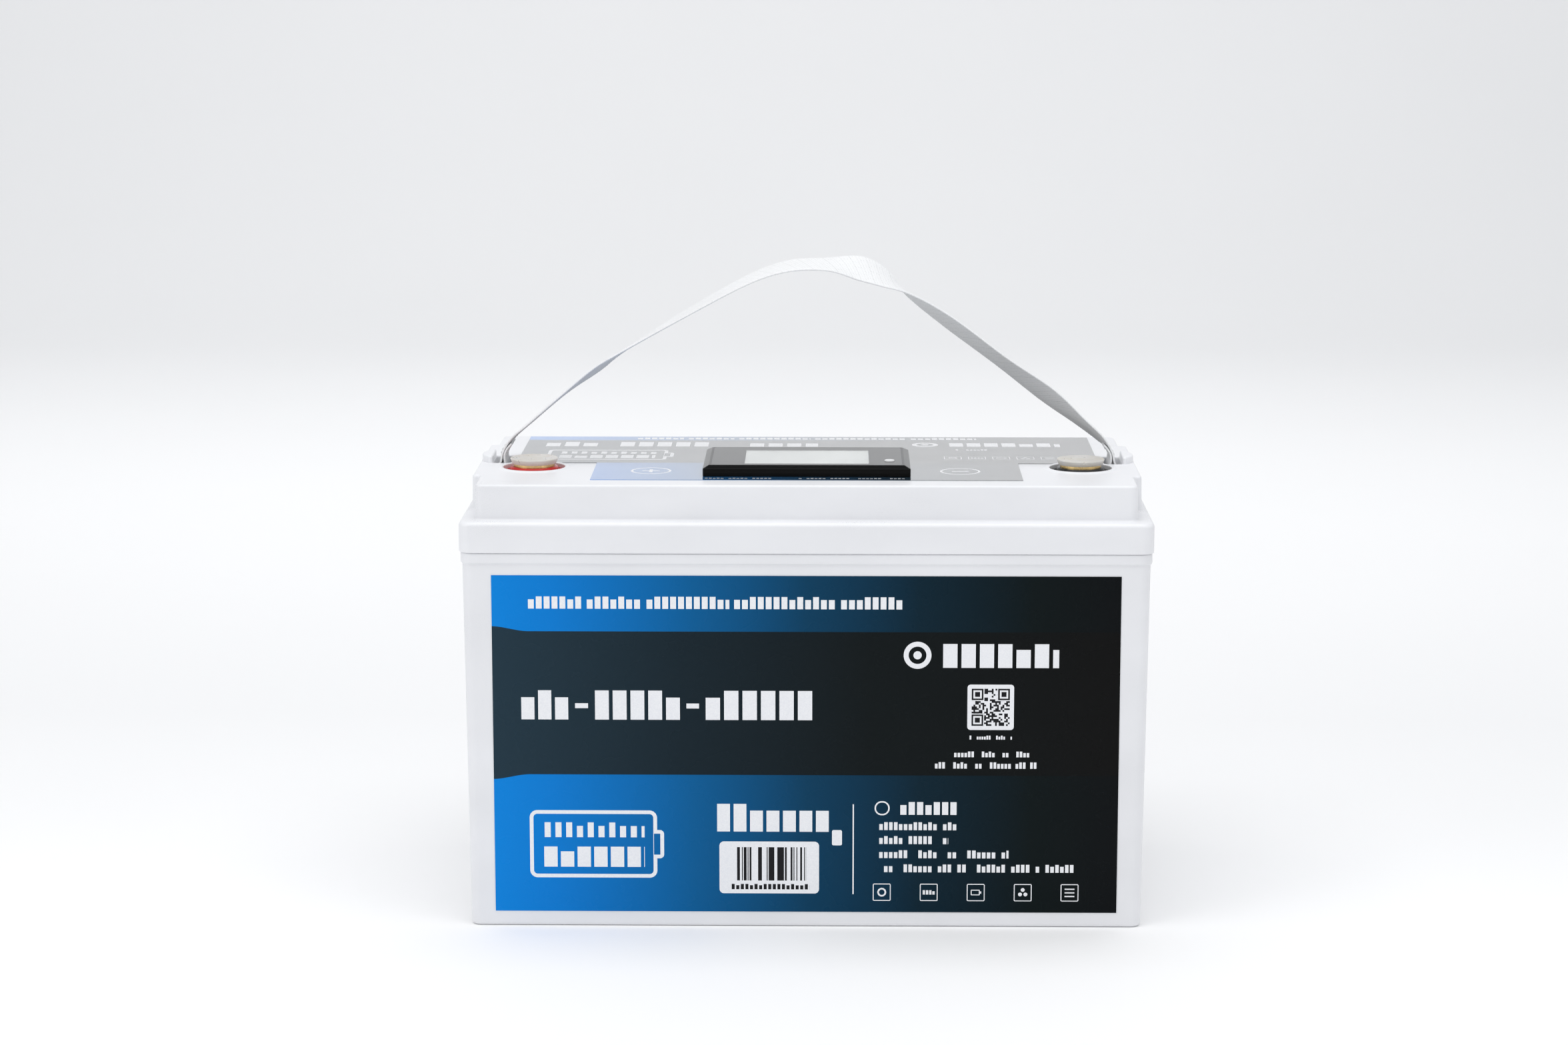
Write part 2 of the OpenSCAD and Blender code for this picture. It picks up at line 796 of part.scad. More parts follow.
module display_lead() {
    color("black") cable([[20, bezel_y, pcb_z - 0.4], [20, bezel_y, case_h - 14],
        [14, bezel_y + 8, case_h - 20], [-20, 14, case_h - 24], [-46, 34, board_top + 12],
        [-50, 36, board_top + 3], [-50, 36, board_top + 0.3]], 3.6, 8, 4);
}

module temperature_probe() {
    color("black") {
        cable([[-60, 16, board_top + 0.4], [-66, 16, board_top + 5], [-90, 12, board_top + 2],
               [-110, 8, tray_z + 3], [-110, 4, cell_top + 10], [-104, 0, cell_top + 3.5],
               [-98, 0, cell_top + 2.2]], 1.4, 6, 4);
        translate([-99, 0, cell_top + 2.2]) rotate([0, 90, 0]) cylinder(d = 4, h = 9);
    }
}

// ---------- assembly ----------

case();
lid();
lid_seal();
front_label();
top_label();
display_bezel();
display_window();
display_lcd();
display_board();
display_switch();
display_button();
display_back_cover();
display_screws();
display_lead();
terminal_positive();
terminal_negative();
terminal_seal(-1, "red");  // terminal_seal_positive
terminal_seal(1, "black");  // terminal_seal_negative
terminal_cap(-1);  // terminal_cap_positive
terminal_cap(1);  // terminal_cap_negative
terminal_gaskets();
terminal_washers();
terminal_nuts();
terminal_lock_nuts();
carry_strap();
strap_loop(-1);  // strap_loop_left
strap_loop(1);  // strap_loop_right
strap_pin(-1);  // strap_pin_left
strap_pin(1);  // strap_pin_right
cell(1);  // cell_1
cell(2);  // cell_2
cell(3);  // cell_3
cell(4);  // cell_4
cell_terminals();
cell_vents();
cell_spacers();
end_plate(-1);  // end_plate_left
end_plate(1);  // end_plate_right
pack_bands();
busbar(1);  // busbar_1
busbar(2);  // busbar_2
busbar(3);  // busbar_3
cell_nuts();
foam_base();
foam_end(-1);  // foam_left
foam_end(1);  // foam_right
foam_strips();
board_tray();
board_standoffs();
protection_board();
board_transistors();
board_heat_sink();
board_screws();
balance_socket();
balance_leads();
cable_positive();
cable_pack_negative();
cable_negative();
cable_lugs();
temperature_probe();
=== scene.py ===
import math

import bmesh
import bpy
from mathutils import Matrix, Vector
from mathutils.geometry import delaunay_2d_cdt


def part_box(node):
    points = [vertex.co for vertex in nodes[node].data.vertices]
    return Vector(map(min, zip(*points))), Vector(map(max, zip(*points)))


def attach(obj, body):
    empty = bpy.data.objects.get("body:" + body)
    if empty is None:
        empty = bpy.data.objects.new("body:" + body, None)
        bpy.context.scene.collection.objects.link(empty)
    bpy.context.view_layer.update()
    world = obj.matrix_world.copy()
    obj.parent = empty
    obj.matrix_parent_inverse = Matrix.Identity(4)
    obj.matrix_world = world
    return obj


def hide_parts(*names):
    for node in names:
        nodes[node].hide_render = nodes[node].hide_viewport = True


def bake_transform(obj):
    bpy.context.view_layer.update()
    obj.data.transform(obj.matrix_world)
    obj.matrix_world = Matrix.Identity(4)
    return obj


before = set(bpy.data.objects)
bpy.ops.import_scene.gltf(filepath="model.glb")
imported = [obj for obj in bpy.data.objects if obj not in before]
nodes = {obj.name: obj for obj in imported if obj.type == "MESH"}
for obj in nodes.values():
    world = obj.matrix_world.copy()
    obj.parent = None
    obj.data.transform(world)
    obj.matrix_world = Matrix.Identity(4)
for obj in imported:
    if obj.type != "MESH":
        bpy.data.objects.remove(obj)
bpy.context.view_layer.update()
MM = 0.001

# ------------------------------------------------------------------ camera and lights

camera_data = bpy.data.cameras.new("camera")
camera_data.lens = 85.0
camera_data.sensor_width = 36.0
camera = bpy.data.objects.new("camera", camera_data)
bpy.context.scene.collection.objects.link(camera)
pitch, yaw = 0.1706, 0.0141
camera.location = (0.0139, -1.810, 0.4954)
camera.rotation_euler = (math.pi / 2 - pitch, 0.0, yaw)
bpy.context.scene.camera = camera


def area_light(name, place, aim, size, power, colour=(1, 1, 1)):
    data = bpy.data.lights.new(name, "AREA")
    data.shape = "RECTANGLE"
    data.size, data.size_y = size
    data.energy = power
    data.color = colour
    light = bpy.data.objects.new(name, data)
    light.location = place
    light.rotation_euler = (Vector(aim) - Vector(place)).to_track_quat("-Z", "Y").to_euler()
    bpy.context.scene.collection.objects.link(light)


area_light("key_top", (0.0, -0.2, 1.9), (0, 0, 0.1), (2.2, 1.6), 19)
area_light("left_soft", (-1.7, -1.0, 0.8), (0, 0, 0.12), (1.4, 1.4), 8)
area_light("right_soft", (1.7, -0.9, 0.8), (0, 0, 0.12), (1.4, 1.4), 4.5)
area_light("front_fill", (0.2, -2.4, 1.1), (0, 0, 0.1), (1.6, 1.0), 1.5)
area_light("front_top", (0.0, -1.0, 1.7), (0, -0.9, 0), (2.0, 0.8), 4.5)
area_light("backdrop_wash", (-0.2, 0.9, 1.5), (-0.15, 2.9, 0.8), (2.4, 0.8), 15)

world = bpy.data.worlds.new("studio")
bpy.context.scene.world = world
world.use_nodes = True
world.node_tree.nodes["Background"].inputs["Color"].default_value = (0.94, 0.96, 1.0, 1)
world.node_tree.nodes["Background"].inputs["Strength"].default_value = 0.5

# ------------------------------------------------------------------ material helpers


class Mat:
    """A node material built with short calls."""

    def __init__(self, name, colour=(0.8, 0.8, 0.8), rough=0.5, **fixed):
        self.m = bpy.data.materials.new(name)
        self.m.use_nodes = True
        self.t = self.m.node_tree
        self.b = self.t.nodes["Principled BSDF"]
        self.put(self.b, "Base Color", (*colour, 1))
        self.put(self.b, "Roughness", rough)
        for key, value in fixed.items():
            self.put(self.b, key.replace("_", " "), value)
        self.coords = None

    def put(self, node, key, value):
        socket = node.inputs[key]
        if isinstance(value, bpy.types.NodeSocket):
            self.t.links.new(value, socket)
        else:
            socket.default_value = value

    def node(self, kind, out=0, props=None, **inputs):
        n = self.t.nodes.new(kind)
        for key, value in (props or {}).items():
            setattr(n, key, value)
        for key, value in inputs.items():
            self.put(n, int(key[1:]) if key[1:].isdigit() and key[0] == "i" else key.replace("_", " "), value)
        return n.outputs[out]

    def math(self, op, *args):
        numbered = {f"i{k}": value for k, value in enumerate(args)}
        return self.node("ShaderNodeMath", props={"operation": op}, **numbered)

    def place(self):
        """Object coordinates, in metres."""
        if self.coords is None:
            self.coords = self.node("ShaderNodeTexCoord", "Object")
        return self.coords

    def xyz(self):
        n = self.t.nodes.new("ShaderNodeSeparateXYZ")
        self.t.links.new(self.place(), n.inputs[0])
        return n.outputs[0], n.outputs[1], n.outputs[2]

    def noise(self, scale, detail=3.0, vector=None, stretch=None):
        v = vector or self.place()
        if stretch:
            v = self.node("ShaderNodeMapping", Vector=v, Scale=stretch)
        return self.node("ShaderNodeTexNoise", "Fac", Vector=v, Scale=scale, Detail=detail)

    def span(self, value, low, high, to_low=0.0, to_high=1.0, smooth=False):
        props = {"interpolation_type": "SMOOTHSTEP", "clamp": False} if smooth else {}
        return self.node("ShaderNodeMapRange", props=props, Value=value, From_Min=low, From_Max=high,
                         To_Min=to_low, To_Max=to_high)

    def mix(self, fac, a, b):
        n = self.t.nodes.new("ShaderNodeMix")
        n.data_type = "RGBA"
        for key, value in ((0, fac), (6, a), (7, b)):
            if isinstance(value, bpy.types.NodeSocket):
                self.t.links.new(value, n.inputs[key])
            else:
                n.inputs[key].default_value = value if key == 0 else (*value, 1)
        return n.outputs[2]

    def bump(self, height, depth):
        """depth is the height's real size in metres for a full 0 to 1 change."""
        n = self.t.nodes.new("ShaderNodeBump")
        n.inputs["Strength"].default_value = 1.0
        n.inputs["Distance"].default_value = depth
        self.t.links.new(height, n.inputs["Height"])
        self.t.links.new(n.outputs[0], self.b.inputs["Normal"])


def moulded(name, colour, rough, grain=0.00002, grain_scale=2600, tint=0.03, **fixed):
    """Injection-moulded plastic: a fine spark grain, faint flow marks and uneven gloss."""
    m = Mat(name, colour, rough, **fixed)
    fine = m.noise(grain_scale, 2.0)
    flow = m.noise(14, 3.0, stretch=(1, 1, 2.2))
    dark = tuple(c * (1 - 2 * tint) for c in colour)
    m.put(m.b, "Base Color", m.mix(m.span(flow, 0.3, 0.7), dark, colour))
    m.put(m.b, "Roughness", m.math("ADD", m.span(flow, 0.3, 0.7, rough - 0.05, rough + 0.05),
                                   m.span(fine, 0.3, 0.7, -0.03, 0.03)))
    m.bump(m.math("ADD", fine, m.math("MULTIPLY", m.noise(90, 2.0), 2.5)), grain)
    return m


def metal(name, colour, rough, brushed=None, tint=0.12):
    """Bare metal with fine tool marks and slight tarnish."""
    m = Mat(name, colour, rough, Metallic=1.0)
    marks = m.noise(900, 3.0, stretch=brushed or (1, 1, 1))
    stain = m.noise(60, 4.0)
    dark = tuple(c * (1 - 2 * tint) for c in colour)
    m.put(m.b, "Base Color", m.mix(m.span(stain, 0.35, 0.7), colour, dark))
    m.put(m.b, "Roughness", m.math("ADD", m.span(marks, 0.3, 0.7, rough - 0.06, rough + 0.08),
                                   m.span(stain, 0.3, 0.7, 0.0, 0.08)))
    m.bump(marks, 0.000015)
    return m


def dress(material, *names):
    for name in names:
        o = nodes[name]
        o.data.materials.clear()
        o.data.materials.append(material.m)


# ------------------------------------------------------------------ mesh helpers


def new_piece(name, verts, faces, material, sharp=35):
    mesh = bpy.data.meshes.new(name)
    mesh.from_pydata([tuple(c * MM for c in v) for v in verts], [], faces)
    bm = bmesh.new()
    bm.from_mesh(mesh)
    bmesh.ops.remove_doubles(bm, verts=bm.verts, dist=1e-7)
    bmesh.ops.recalc_face_normals(bm, faces=bm.faces)
    bm.to_mesh(mesh)
    bm.free()
    mesh.shade_smooth()
    mesh.set_sharp_from_angle(angle=math.radians(sharp))
    o = bpy.data.objects.new(name, mesh)
    bpy.context.scene.collection.objects.link(o)
    mesh.materials.append(material.m)
    w = o.modifiers.new("even_normals", "WEIGHTED_NORMAL")
    w.keep_sharp = True
    w.weight = 80
    return o


class Build:
    """Collects lofted rings and flat faces with holes into one mesh, in millimetres."""

    def __init__(self):
        self.v, self.f = [], []

    def ring(self, points):
        start = len(self.v)
        self.v.extend(points)
        return list(range(start, start + len(points)))

    def loft(self, rings):
        made = [r if isinstance(r[0], int) else self.ring(r) for r in rings]
        for a, b in zip(made, made[1:]):
            n = len(a)
            for k in range(n):
                self.f.append((a[k], a[(k + 1) % n], b[(k + 1) % n], b[k]))
        return made

    def close(self, made):
        """Joins the last ring of a loft back to its first."""
        n = len(made[0])
        for k in range(n):
            self.f.append((made[-1][k], made[-1][(k + 1) % n], made[0][(k + 1) % n], made[0][k]))

    def fill(self, outer, holes=()):
        """Flat face at constant height between an outer ring and hole rings of vertex numbers."""
        loops = [outer, *holes]
        flat = [Vector(self.v[i][:2]) for loop in loops for i in loop]
        index = [i for loop in loops for i in loop]
        edges, base = [], 0
        for loop in loops:
            n = len(loop)
            edges += [(base + k, base + (k + 1) % n) for k in range(n)]
            base += n
        out = delaunay_2d_cdt(flat, edges, [], 1, 1e-6)
        where = [index[src[0]] if src else None for src in out[3]]
        for tri in out[2]:
            centre = sum((out[0][i] for i in tri), Vector((0, 0))) / 3
            if any(inside(centre, [self.v[i] for i in h]) for h in holes):
                continue
            if not inside(centre, [self.v[i] for i in outer]):
                continue
            if all(where[i] is not None for i in tri):
                self.f.append(tuple(where[i] for i in tri))


def inside(p, loop):
    hit = False
    for a, b in zip(loop, loop[1:] + loop[:1]):
        if (a[1] > p[1]) != (b[1] > p[1]) and p[0] < (b[0] - a[0]) * (p[1] - a[1]) / (b[1] - a[1]) + a[0]:
            hit = not hit
    return hit


def corner_loop(corners, z, inset=0.0, n=7):
    """A closed outline of arcs: corners are (centre x, centre y, radius, start angle, end angle).
    A negative turn is a concave corner, whose radius grows as the outline shrinks."""
    pts = []
    for cx, cy, r, a0, a1 in corners:
        rr = r - inset if a1 > a0 else r + inset
        rr = max(rr, 0.02)
        for k in range(n):
            a = math.radians(a0 + (a1 - a0) * k / (n - 1))
            pts.append((cx + rr * math.cos(a), cy + rr * math.sin(a), z))
    return pts


def box_corners(w, d, r, cx=0.0, cy=0.0):
    x, y = w / 2 - r, d / 2 - r
    return [(cx + x, cy - y, r, -90, 0), (cx + x, cy + y, r, 0, 90),
            (cx - x, cy + y, r, 90, 180), (cx - x, cy - y, r, 180, 270)]


def circle(cx, cy, r, z, n=72):
    return [(cx + r * math.cos(2 * math.pi * k / n), cy + r * math.sin(2 * math.pi * k / n), z)
            for k in range(n)]


def turned(b, cx, cy, profile, n=72):
    """Lofted rings around a vertical axis; profile is (radius, height)."""
    return b.loft([circle(cx, cy, r, z, n) for r, z in profile])


def fillet(w0, z0, w1, z1, n):
    """Quarter turn from (inset w0, z0) to (inset w1, z1): leaves vertical, arrives flat."""
    turns = [math.pi / 2 * k / n for k in range(1, n + 1)]
    return [(w0 + (w1 - w0) * (1 - math.cos(a)), z0 + (z1 - z0) * math.sin(a)) for a in turns]


def box_mm(name):
    """Low and high corners of a CAD node, in millimetres."""
    low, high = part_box(name)
    return Vector(low) / MM, Vector(high) / MM


def middle_mm(name):
    low, high = box_mm(name)
    return (low + high) / 2


# The lid and case meet at PART; the lid's ledge, top face and well floors lie above it.
lid_low, lid_high = box_mm("lid")
W = lid_high.x - lid_low.x
D = lid_high.y - lid_low.y
PART = lid_low.z - 0.1
LEDGE = PART + 15
TOP = box_mm("top_label")[0].z
WELL = box_mm("terminal_seal_negative")[0].z
POST = {name: middle_mm("terminal_" + name) for name in ("positive", "negative")}
PIN = middle_mm("strap_pin_right")

# ------------------------------------------------------------------ case and lid

WHITE = (0.82, 0.825, 0.845)
case_plastic = moulded("case_plastic", WHITE, 0.34, Specular_IOR_Level=0.45)
lid_plastic = moulded("lid_plastic", (0.835, 0.84, 0.86), 0.32, Specular_IOR_Level=0.45)


def make_case():
    b = Build()
    foot_w, foot_d, neck_w, neck_d = W - 7, D - 7, W - 3, D - 3
    rim_w, rim_d = W - 1.4, D - 1.4
    wall = 5.6

    def level(w, d, r, z):
        return corner_loop(box_corners(w, d, r), z)

    rings = [level(foot_w - 4, foot_d - 4, 3.2, 0)]
    for k in range(1, 6):
        t = math.pi / 2 * k / 5
        a = 2 - 2 * math.sin(t)
        rings.append(level(foot_w - 2 * a, foot_d - 2 * a, 5 - 0.9 * a, 2 - 2 * math.cos(t)))
    rings += [level(neck_w, neck_d, 5, PART - 5.8), level(neck_w + 0.3, neck_d + 0.3, 5.2, PART - 5.2),
              level(rim_w - 0.7, rim_d - 0.7, 5.6, PART - 5.0),
              level(rim_w - 0.2, rim_d - 0.2, 5.8, PART - 4.7),
              level(rim_w, rim_d, 5.9, PART - 4.3), level(rim_w, rim_d, 5.9, PART - 0.7),
              level(rim_w - 0.3, rim_d - 0.3, 5.7, PART - 0.2), level(rim_w - 1.0, rim_d - 1.0, 5.4, PART),
              level(neck_w - 3, neck_d - 3, 3.5, PART), level(neck_w - 3, neck_d - 3, 3.5, PART + 5),
              level(neck_w - wall, neck_d - wall, 2.7, PART + 5), level(foot_w - wall, foot_d - wall, 2.7, 3)]
    made = b.loft(rings)
    b.fill(made[0])
    b.fill(made[-1])
    o = new_piece("case_shell", b.v, b.f, case_plastic)
    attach(o, "battery")
    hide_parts("case")


def block_corners():
    """Outline of the lid's raised block, with the shallow bulge on both short sides."""
    x, y, r = (W - 15) / 2, (D - 14) / 2, 4.0
    bx, by, r2, rc = (W - 7) / 2, 49.0, 2.4, 1.6
    return [(x - r, -y + r, r, -90, 0), (x + rc, -by - rc, rc, 180, 90), (bx - r2, -by + r2, r2, -90, 0),
            (bx - r2, by - r2, r2, 0, 90), (x + rc, by + rc, rc, 270, 180), (x - r, y - r, r, 0, 90),
            (-x + r, y - r, r, 90, 180), (-x - rc, by + rc, rc, 0, -90), (-bx + r2, by - r2, r2, 90, 180),
            (-bx + r2, -by + r2, r2, 180, 270), (-x - rc, -by - rc, rc, 90, 0), (-x + r, -y + r, r, 180, 270)]


def cavity_corners():
    """Inside outline of the block, which steps in around the two strap slots."""
    x, y, r, nx, ny, s = (W - 21) / 2, (D - 20) / 2, 3.0, 143.2, 16.5, 1.0
    return [(x - r, -y + r, r, -90, 0), (x - s, -ny - s, s, 0, 90), (nx + s, -ny + s, s, 270, 180),
            (nx + s, ny - s, s, 180, 90), (x - s, ny + s, s, -90, 0), (x - r, y - r, r, 0, 90),
            (-x + r, y - r, r, 90, 180), (-x + s, ny + s, s, 180, 270), (-nx - s, ny - s, s, 90, 0),
            (-nx - s, -ny + s, s, 0, -90), (-x + s, -ny - s, s, 90, 180), (-x + r, -y + r, r, 180, 270)]


def lug_corners(side):
    """The D-shaped lug outside a strap slot."""
    flat, half, out = 155.0, 13.5, 5.8
    big = (half * half + out * out) / (2 * out)
    cx, small = flat + out - big, 1.0
    ex = flat + small
    ey = math.sqrt((big - small) ** 2 - (ex - cx) ** 2)
    turn = math.degrees(math.atan2(ey, ex - cx))
    right = [(cx, 0, big, -turn, turn), (ex, ey, small, turn, 180), (ex, -ey, small, -180, -turn)]
    if side > 0:
        return right
    return [(-c[0], -c[1], c[2], c[3] + 180, c[4] + 180) for c in right]


def make_lid():
    b = Build()
    block, cavity = block_corners(), cavity_corners()
    roof = TOP - 3

    def level(w, d, r, z):
        return corner_loop(box_corners(w, d, r), z)

    # skirt, from its inside lip round to the ledge
    skirt = b.loft([level(W - 5, D - 5, 4, PART + 6.5), level(W - 5, D - 5, 4, PART + 0.6),
                    level(W - 4.2, D - 4.2, 4.4, PART + 0.1), level(W - 1.4, D - 1.4, 5.6, PART + 0.1),
                    level(W - 0.4, D - 0.4, 6, PART + 0.35), level(W, D, 6, PART + 0.9),
                    level(W, D, 6, LEDGE - 2.2)] +
                   [level(W - 2 * a, D - 2 * a, 6, z) for a, z in fillet(0, LEDGE - 2.2, 2.2, LEDGE, 6)])
    base = corner_loop(block, LEDGE, inset=-1.0)
    walls = [base] + [corner_loop(block, z, inset=a) for a, z in
                      [(-1.0 + math.sin(t), LEDGE + 1.0 - math.cos(t)) for t in
                       [math.pi / 2 * k / 4 for k in range(1, 5)]]]
    walls.append(corner_loop(block, TOP - 1.3, inset=0.25))
    walls += [corner_loop(block, z, inset=a) for a, z in fillet(0.25, TOP - 1.3, 1.4, TOP, 6)]
    wall = b.loft(walls)
    b.fill(skirt[-1], [wall[0]])

    # wells with raised rims, from the roof's underside up to the top face
    holes_top, holes_roof = [], []
    for post in POST.values():
        profile = [(18.0, roof), (18.0, WELL - 3), (6.2, WELL - 3), (6.2, WELL), (15.0, WELL), (15.0, TOP),
                   (15.2, TOP + 0.4), (15.7, TOP + 0.6), (16.6, TOP + 0.6), (17.1, TOP + 0.45),
                   (17.6, TOP + 0.1), (18.2, TOP)]
        made = turned(b, post.x, post.y, profile)
        holes_roof.append(made[0])
        holes_top.append(made[-1])
    # strap slots, closed below
    for side in (-1, 1):
        def slot_ring(grow, z):
            return corner_loop(box_corners(9 + 2 * grow, 23 + 2 * grow, 1.5 + grow, side * PIN.x), z, n=5)
        made = b.loft([slot_ring(0, TOP - 15), slot_ring(0, TOP - 0.8), slot_ring(0.06, TOP - 0.5),
                       slot_ring(0.2, TOP - 0.2), slot_ring(0.4, TOP)])
        b.fill(made[0])
        holes_top.append(made[-1])
    # opening under the display
    bez_y = middle_mm("display_board").y
    made = b.loft([corner_loop(box_corners(92, 54, 2, 0, bez_y), z, n=5) for z in (roof, TOP)])
    holes_roof.append(made[0])
    holes_top.append(made[-1])
    b.fill(wall[-1], holes_top)
    inner = b.loft([corner_loop(cavity, roof), corner_loop(cavity, LEDGE - 3)])
    b.fill(inner[0], holes_roof)
    step = b.loft([level(W - 11, D - 11, 3, LEDGE - 3), level(W - 11, D - 11, 3, PART + 6.5)])
    b.fill(step[0], [inner[1]])
    b.fill(skirt[0], [step[1]])
    # lugs
    for side in (-1, 1):
        lug = lug_corners(side)
        rings = [corner_loop(lug, TOP - 0.4, -0.3, 12), corner_loop(lug, TOP + 0.3, 0, 12),
                 corner_loop(lug, lid_high.z - 0.9, 0, 12)]
        rings += [corner_loop(lug, z, a, 12) for a, z in fillet(0, lid_high.z - 0.9, 0.9, lid_high.z, 5)]
        made = b.loft(rings)
        b.fill(made[0])
        b.fill(made[-1])
    o = new_piece("lid_shell", b.v, b.f, lid_plastic)
    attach(o, "battery")
    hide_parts("lid")


make_case()
make_lid()

# ------------------------------------------------------------------ printed labels


class Print:
    """Flat graphics in millimetres, as masks that add up to one ink mask."""

    WORD_SEED = 77

    def __init__(self, mat, x, y):
        self.m, self.x, self.y, self.ink = mat, x, y, None

    def add(self, mask):
        self.ink = mask if self.ink is None else self.m.math("MAXIMUM", self.ink, mask)
        return mask

    def sdf(self, cx, cy, hw, hh, r=0.0):
        """Distance to a rounded box, negative inside."""
        m = self.m
        dx = m.math("SUBTRACT", m.math("ABSOLUTE", m.math("SUBTRACT", self.x, cx)), hw - r)
        dy = m.math("SUBTRACT", m.math("ABSOLUTE", m.math("SUBTRACT", self.y, cy)), hh - r)
        ax, ay = m.math("MAXIMUM", dx, 0.0), m.math("MAXIMUM", dy, 0.0)
        out = m.math("SQRT", m.math("ADD", m.math("MULTIPLY", ax, ax), m.math("MULTIPLY", ay, ay)))
        return m.math("SUBTRACT", m.math("ADD", out, m.math("MINIMUM", m.math("MAXIMUM", dx, dy), 0.0)), r)

    def below(self, value, limit=0.0):
        return self.m.math("LESS_THAN", value, limit)

    def box(self, x0, x1, y0, y1, r=0.0):
        return self.below(self.sdf((x0 + x1) / 2, (y0 + y1) / 2, (x1 - x0) / 2, (y1 - y0) / 2, r))

    def frame(self, x0, x1, y0, y1, r, stroke):
        d = self.sdf((x0 + x1) / 2, (y0 + y1) / 2, (x1 - x0) / 2, (y1 - y0) / 2, r)
        return self.below(self.m.math("ABSOLUTE", self.m.math("ADD", d, stroke / 2)), stroke / 2)

    def random(self, key):
        return self.m.node("ShaderNodeTexWhiteNoise", 0, {"noise_dimensions": "1D"}, W=key)

    def blocks(self, x0, x1, y0, y1, cell, seed, gap=0.14, gaps=True):
        """A row of plain upright blocks of uneven height, standing for a line of print."""
        m = self.m
        u = m.math("DIVIDE", m.math("SUBTRACT", self.x, x0), cell)
        i, f = m.math("FLOOR", u), m.math("FRACT", u)
        tall = self.random(m.math("ADD", i, seed + 0.5))
        high = m.math("GREATER_THAN", tall, 0.45)
        top = m.math("MULTIPLY_ADD", high, 0.24 * (y1 - y0), y0 + 0.76 * (y1 - y0))
        on = m.math("LESS_THAN", m.math("ABSOLUTE", m.math("SUBTRACT", f, 0.5)), 0.5 - gap)
        on = m.math("MULTIPLY", on, m.math("LESS_THAN", self.y, top))
        on = m.math("MULTIPLY", on, m.math("GREATER_THAN", self.y, y0))
        on = m.math("MULTIPLY", on, m.math("GREATER_THAN", self.x, x0))
        on = m.math("MULTIPLY", on, m.math("LESS_THAN", self.x, x1))
        if gaps:
            word = self.random(m.math("ADD", i, seed + self.WORD_SEED + 0.5))
            on = m.math("MULTIPLY", on, m.math("GREATER_THAN", word, 0.16))
        return on

    def cells(self, x0, x1, y0, y1, pitch_x, pitch_y, seed, share):
        """Random square or bar cells inside a panel."""
        m = self.m
        i = m.math("FLOOR", m.math("DIVIDE", m.math("SUBTRACT", self.x, x0), pitch_x))
        j = m.math("FLOOR", m.math("DIVIDE", m.math("SUBTRACT", self.y, y0), pitch_y))
        value = self.random(m.math("MULTIPLY_ADD", j, 131.0, m.math("ADD", i, seed + 0.5)))
        return m.math("MULTIPLY", self.box(x0, x1, y0, y1), m.math("LESS_THAN", value, share))


def gradient(m, x, stops):
    ramp = m.t.nodes.new("ShaderNodeValToRGB")
    m.t.links.new(m.span(x, -150, 150), ramp.inputs[0])
    first, last = stops[0], stops[-1]
    ramp.color_ramp.elements[0].position, ramp.color_ramp.elements[0].color = first[0], (*first[1], 1)
    ramp.color_ramp.elements[1].position, ramp.color_ramp.elements[1].color = last[0], (*last[1], 1)
    for place, colour in stops[1:-1]:
        ramp.color_ramp.elements.new(place).color = (*colour, 1)
    return ramp.outputs[0]


BAND = [(0.0, (0.001, 0.22, 0.68)), (0.10, (0.001, 0.19, 0.60)), (0.32, (0.001, 0.105, 0.29)),
        (0.5, (0.001, 0.045, 0.105)), (0.68, (0.001, 0.016, 0.030)), (0.86, (0.001, 0.005, 0.006)),
        (1.0, (0.001, 0.002, 0.003))]
DARK = [(0.0, (0.015, 0.036, 0.054)), (0.3, (0.007, 0.017, 0.025)), (0.6, (0.003, 0.006, 0.007)),
        (1.0, (0.002, 0.002, 0.002))]


def print_ground(p, high, low, swell, band=BAND):
    """Blue-to-black bands with a dark middle band, whose edges lift at the left."""
    m = p.m
    lift = m.math("MULTIPLY", m.span(p.x, -150, -132, 1.0, 0.0, smooth=True), swell)
    over = m.math("GREATER_THAN", p.y, m.math("ADD", lift, high))
    under = m.math("LESS_THAN", p.y, m.math("SUBTRACT", low, lift))
    return m.mix(m.math("MAXIMUM", over, under), gradient(m, p.x, DARK), gradient(m, p.x, band))


def print_finish(p, colour, marks=None):
    """White ink over the ground, with black marks on white panels, ink grain and a film surface."""
    m = p.m
    grain = m.noise(1500, 2.0)
    white = m.mix(m.span(grain, 0.3, 0.7), (0.80, 0.81, 0.84), (0.87, 0.875, 0.89))
    colour = m.mix(p.ink, colour, white)
    if marks is not None:
        colour = m.mix(marks, colour, (0.012, 0.012, 0.014))
    m.put(m.b, "Base Color", colour)
    dull = m.noise(55, 3.0)
    m.put(m.b, "Roughness", m.math("ADD", m.span(dull, 0.3, 0.7, p.rough - 0.03, p.rough + 0.04),
                                   m.math("MULTIPLY", p.ink, 0.04)))
    m.bump(grain, 0.000004)


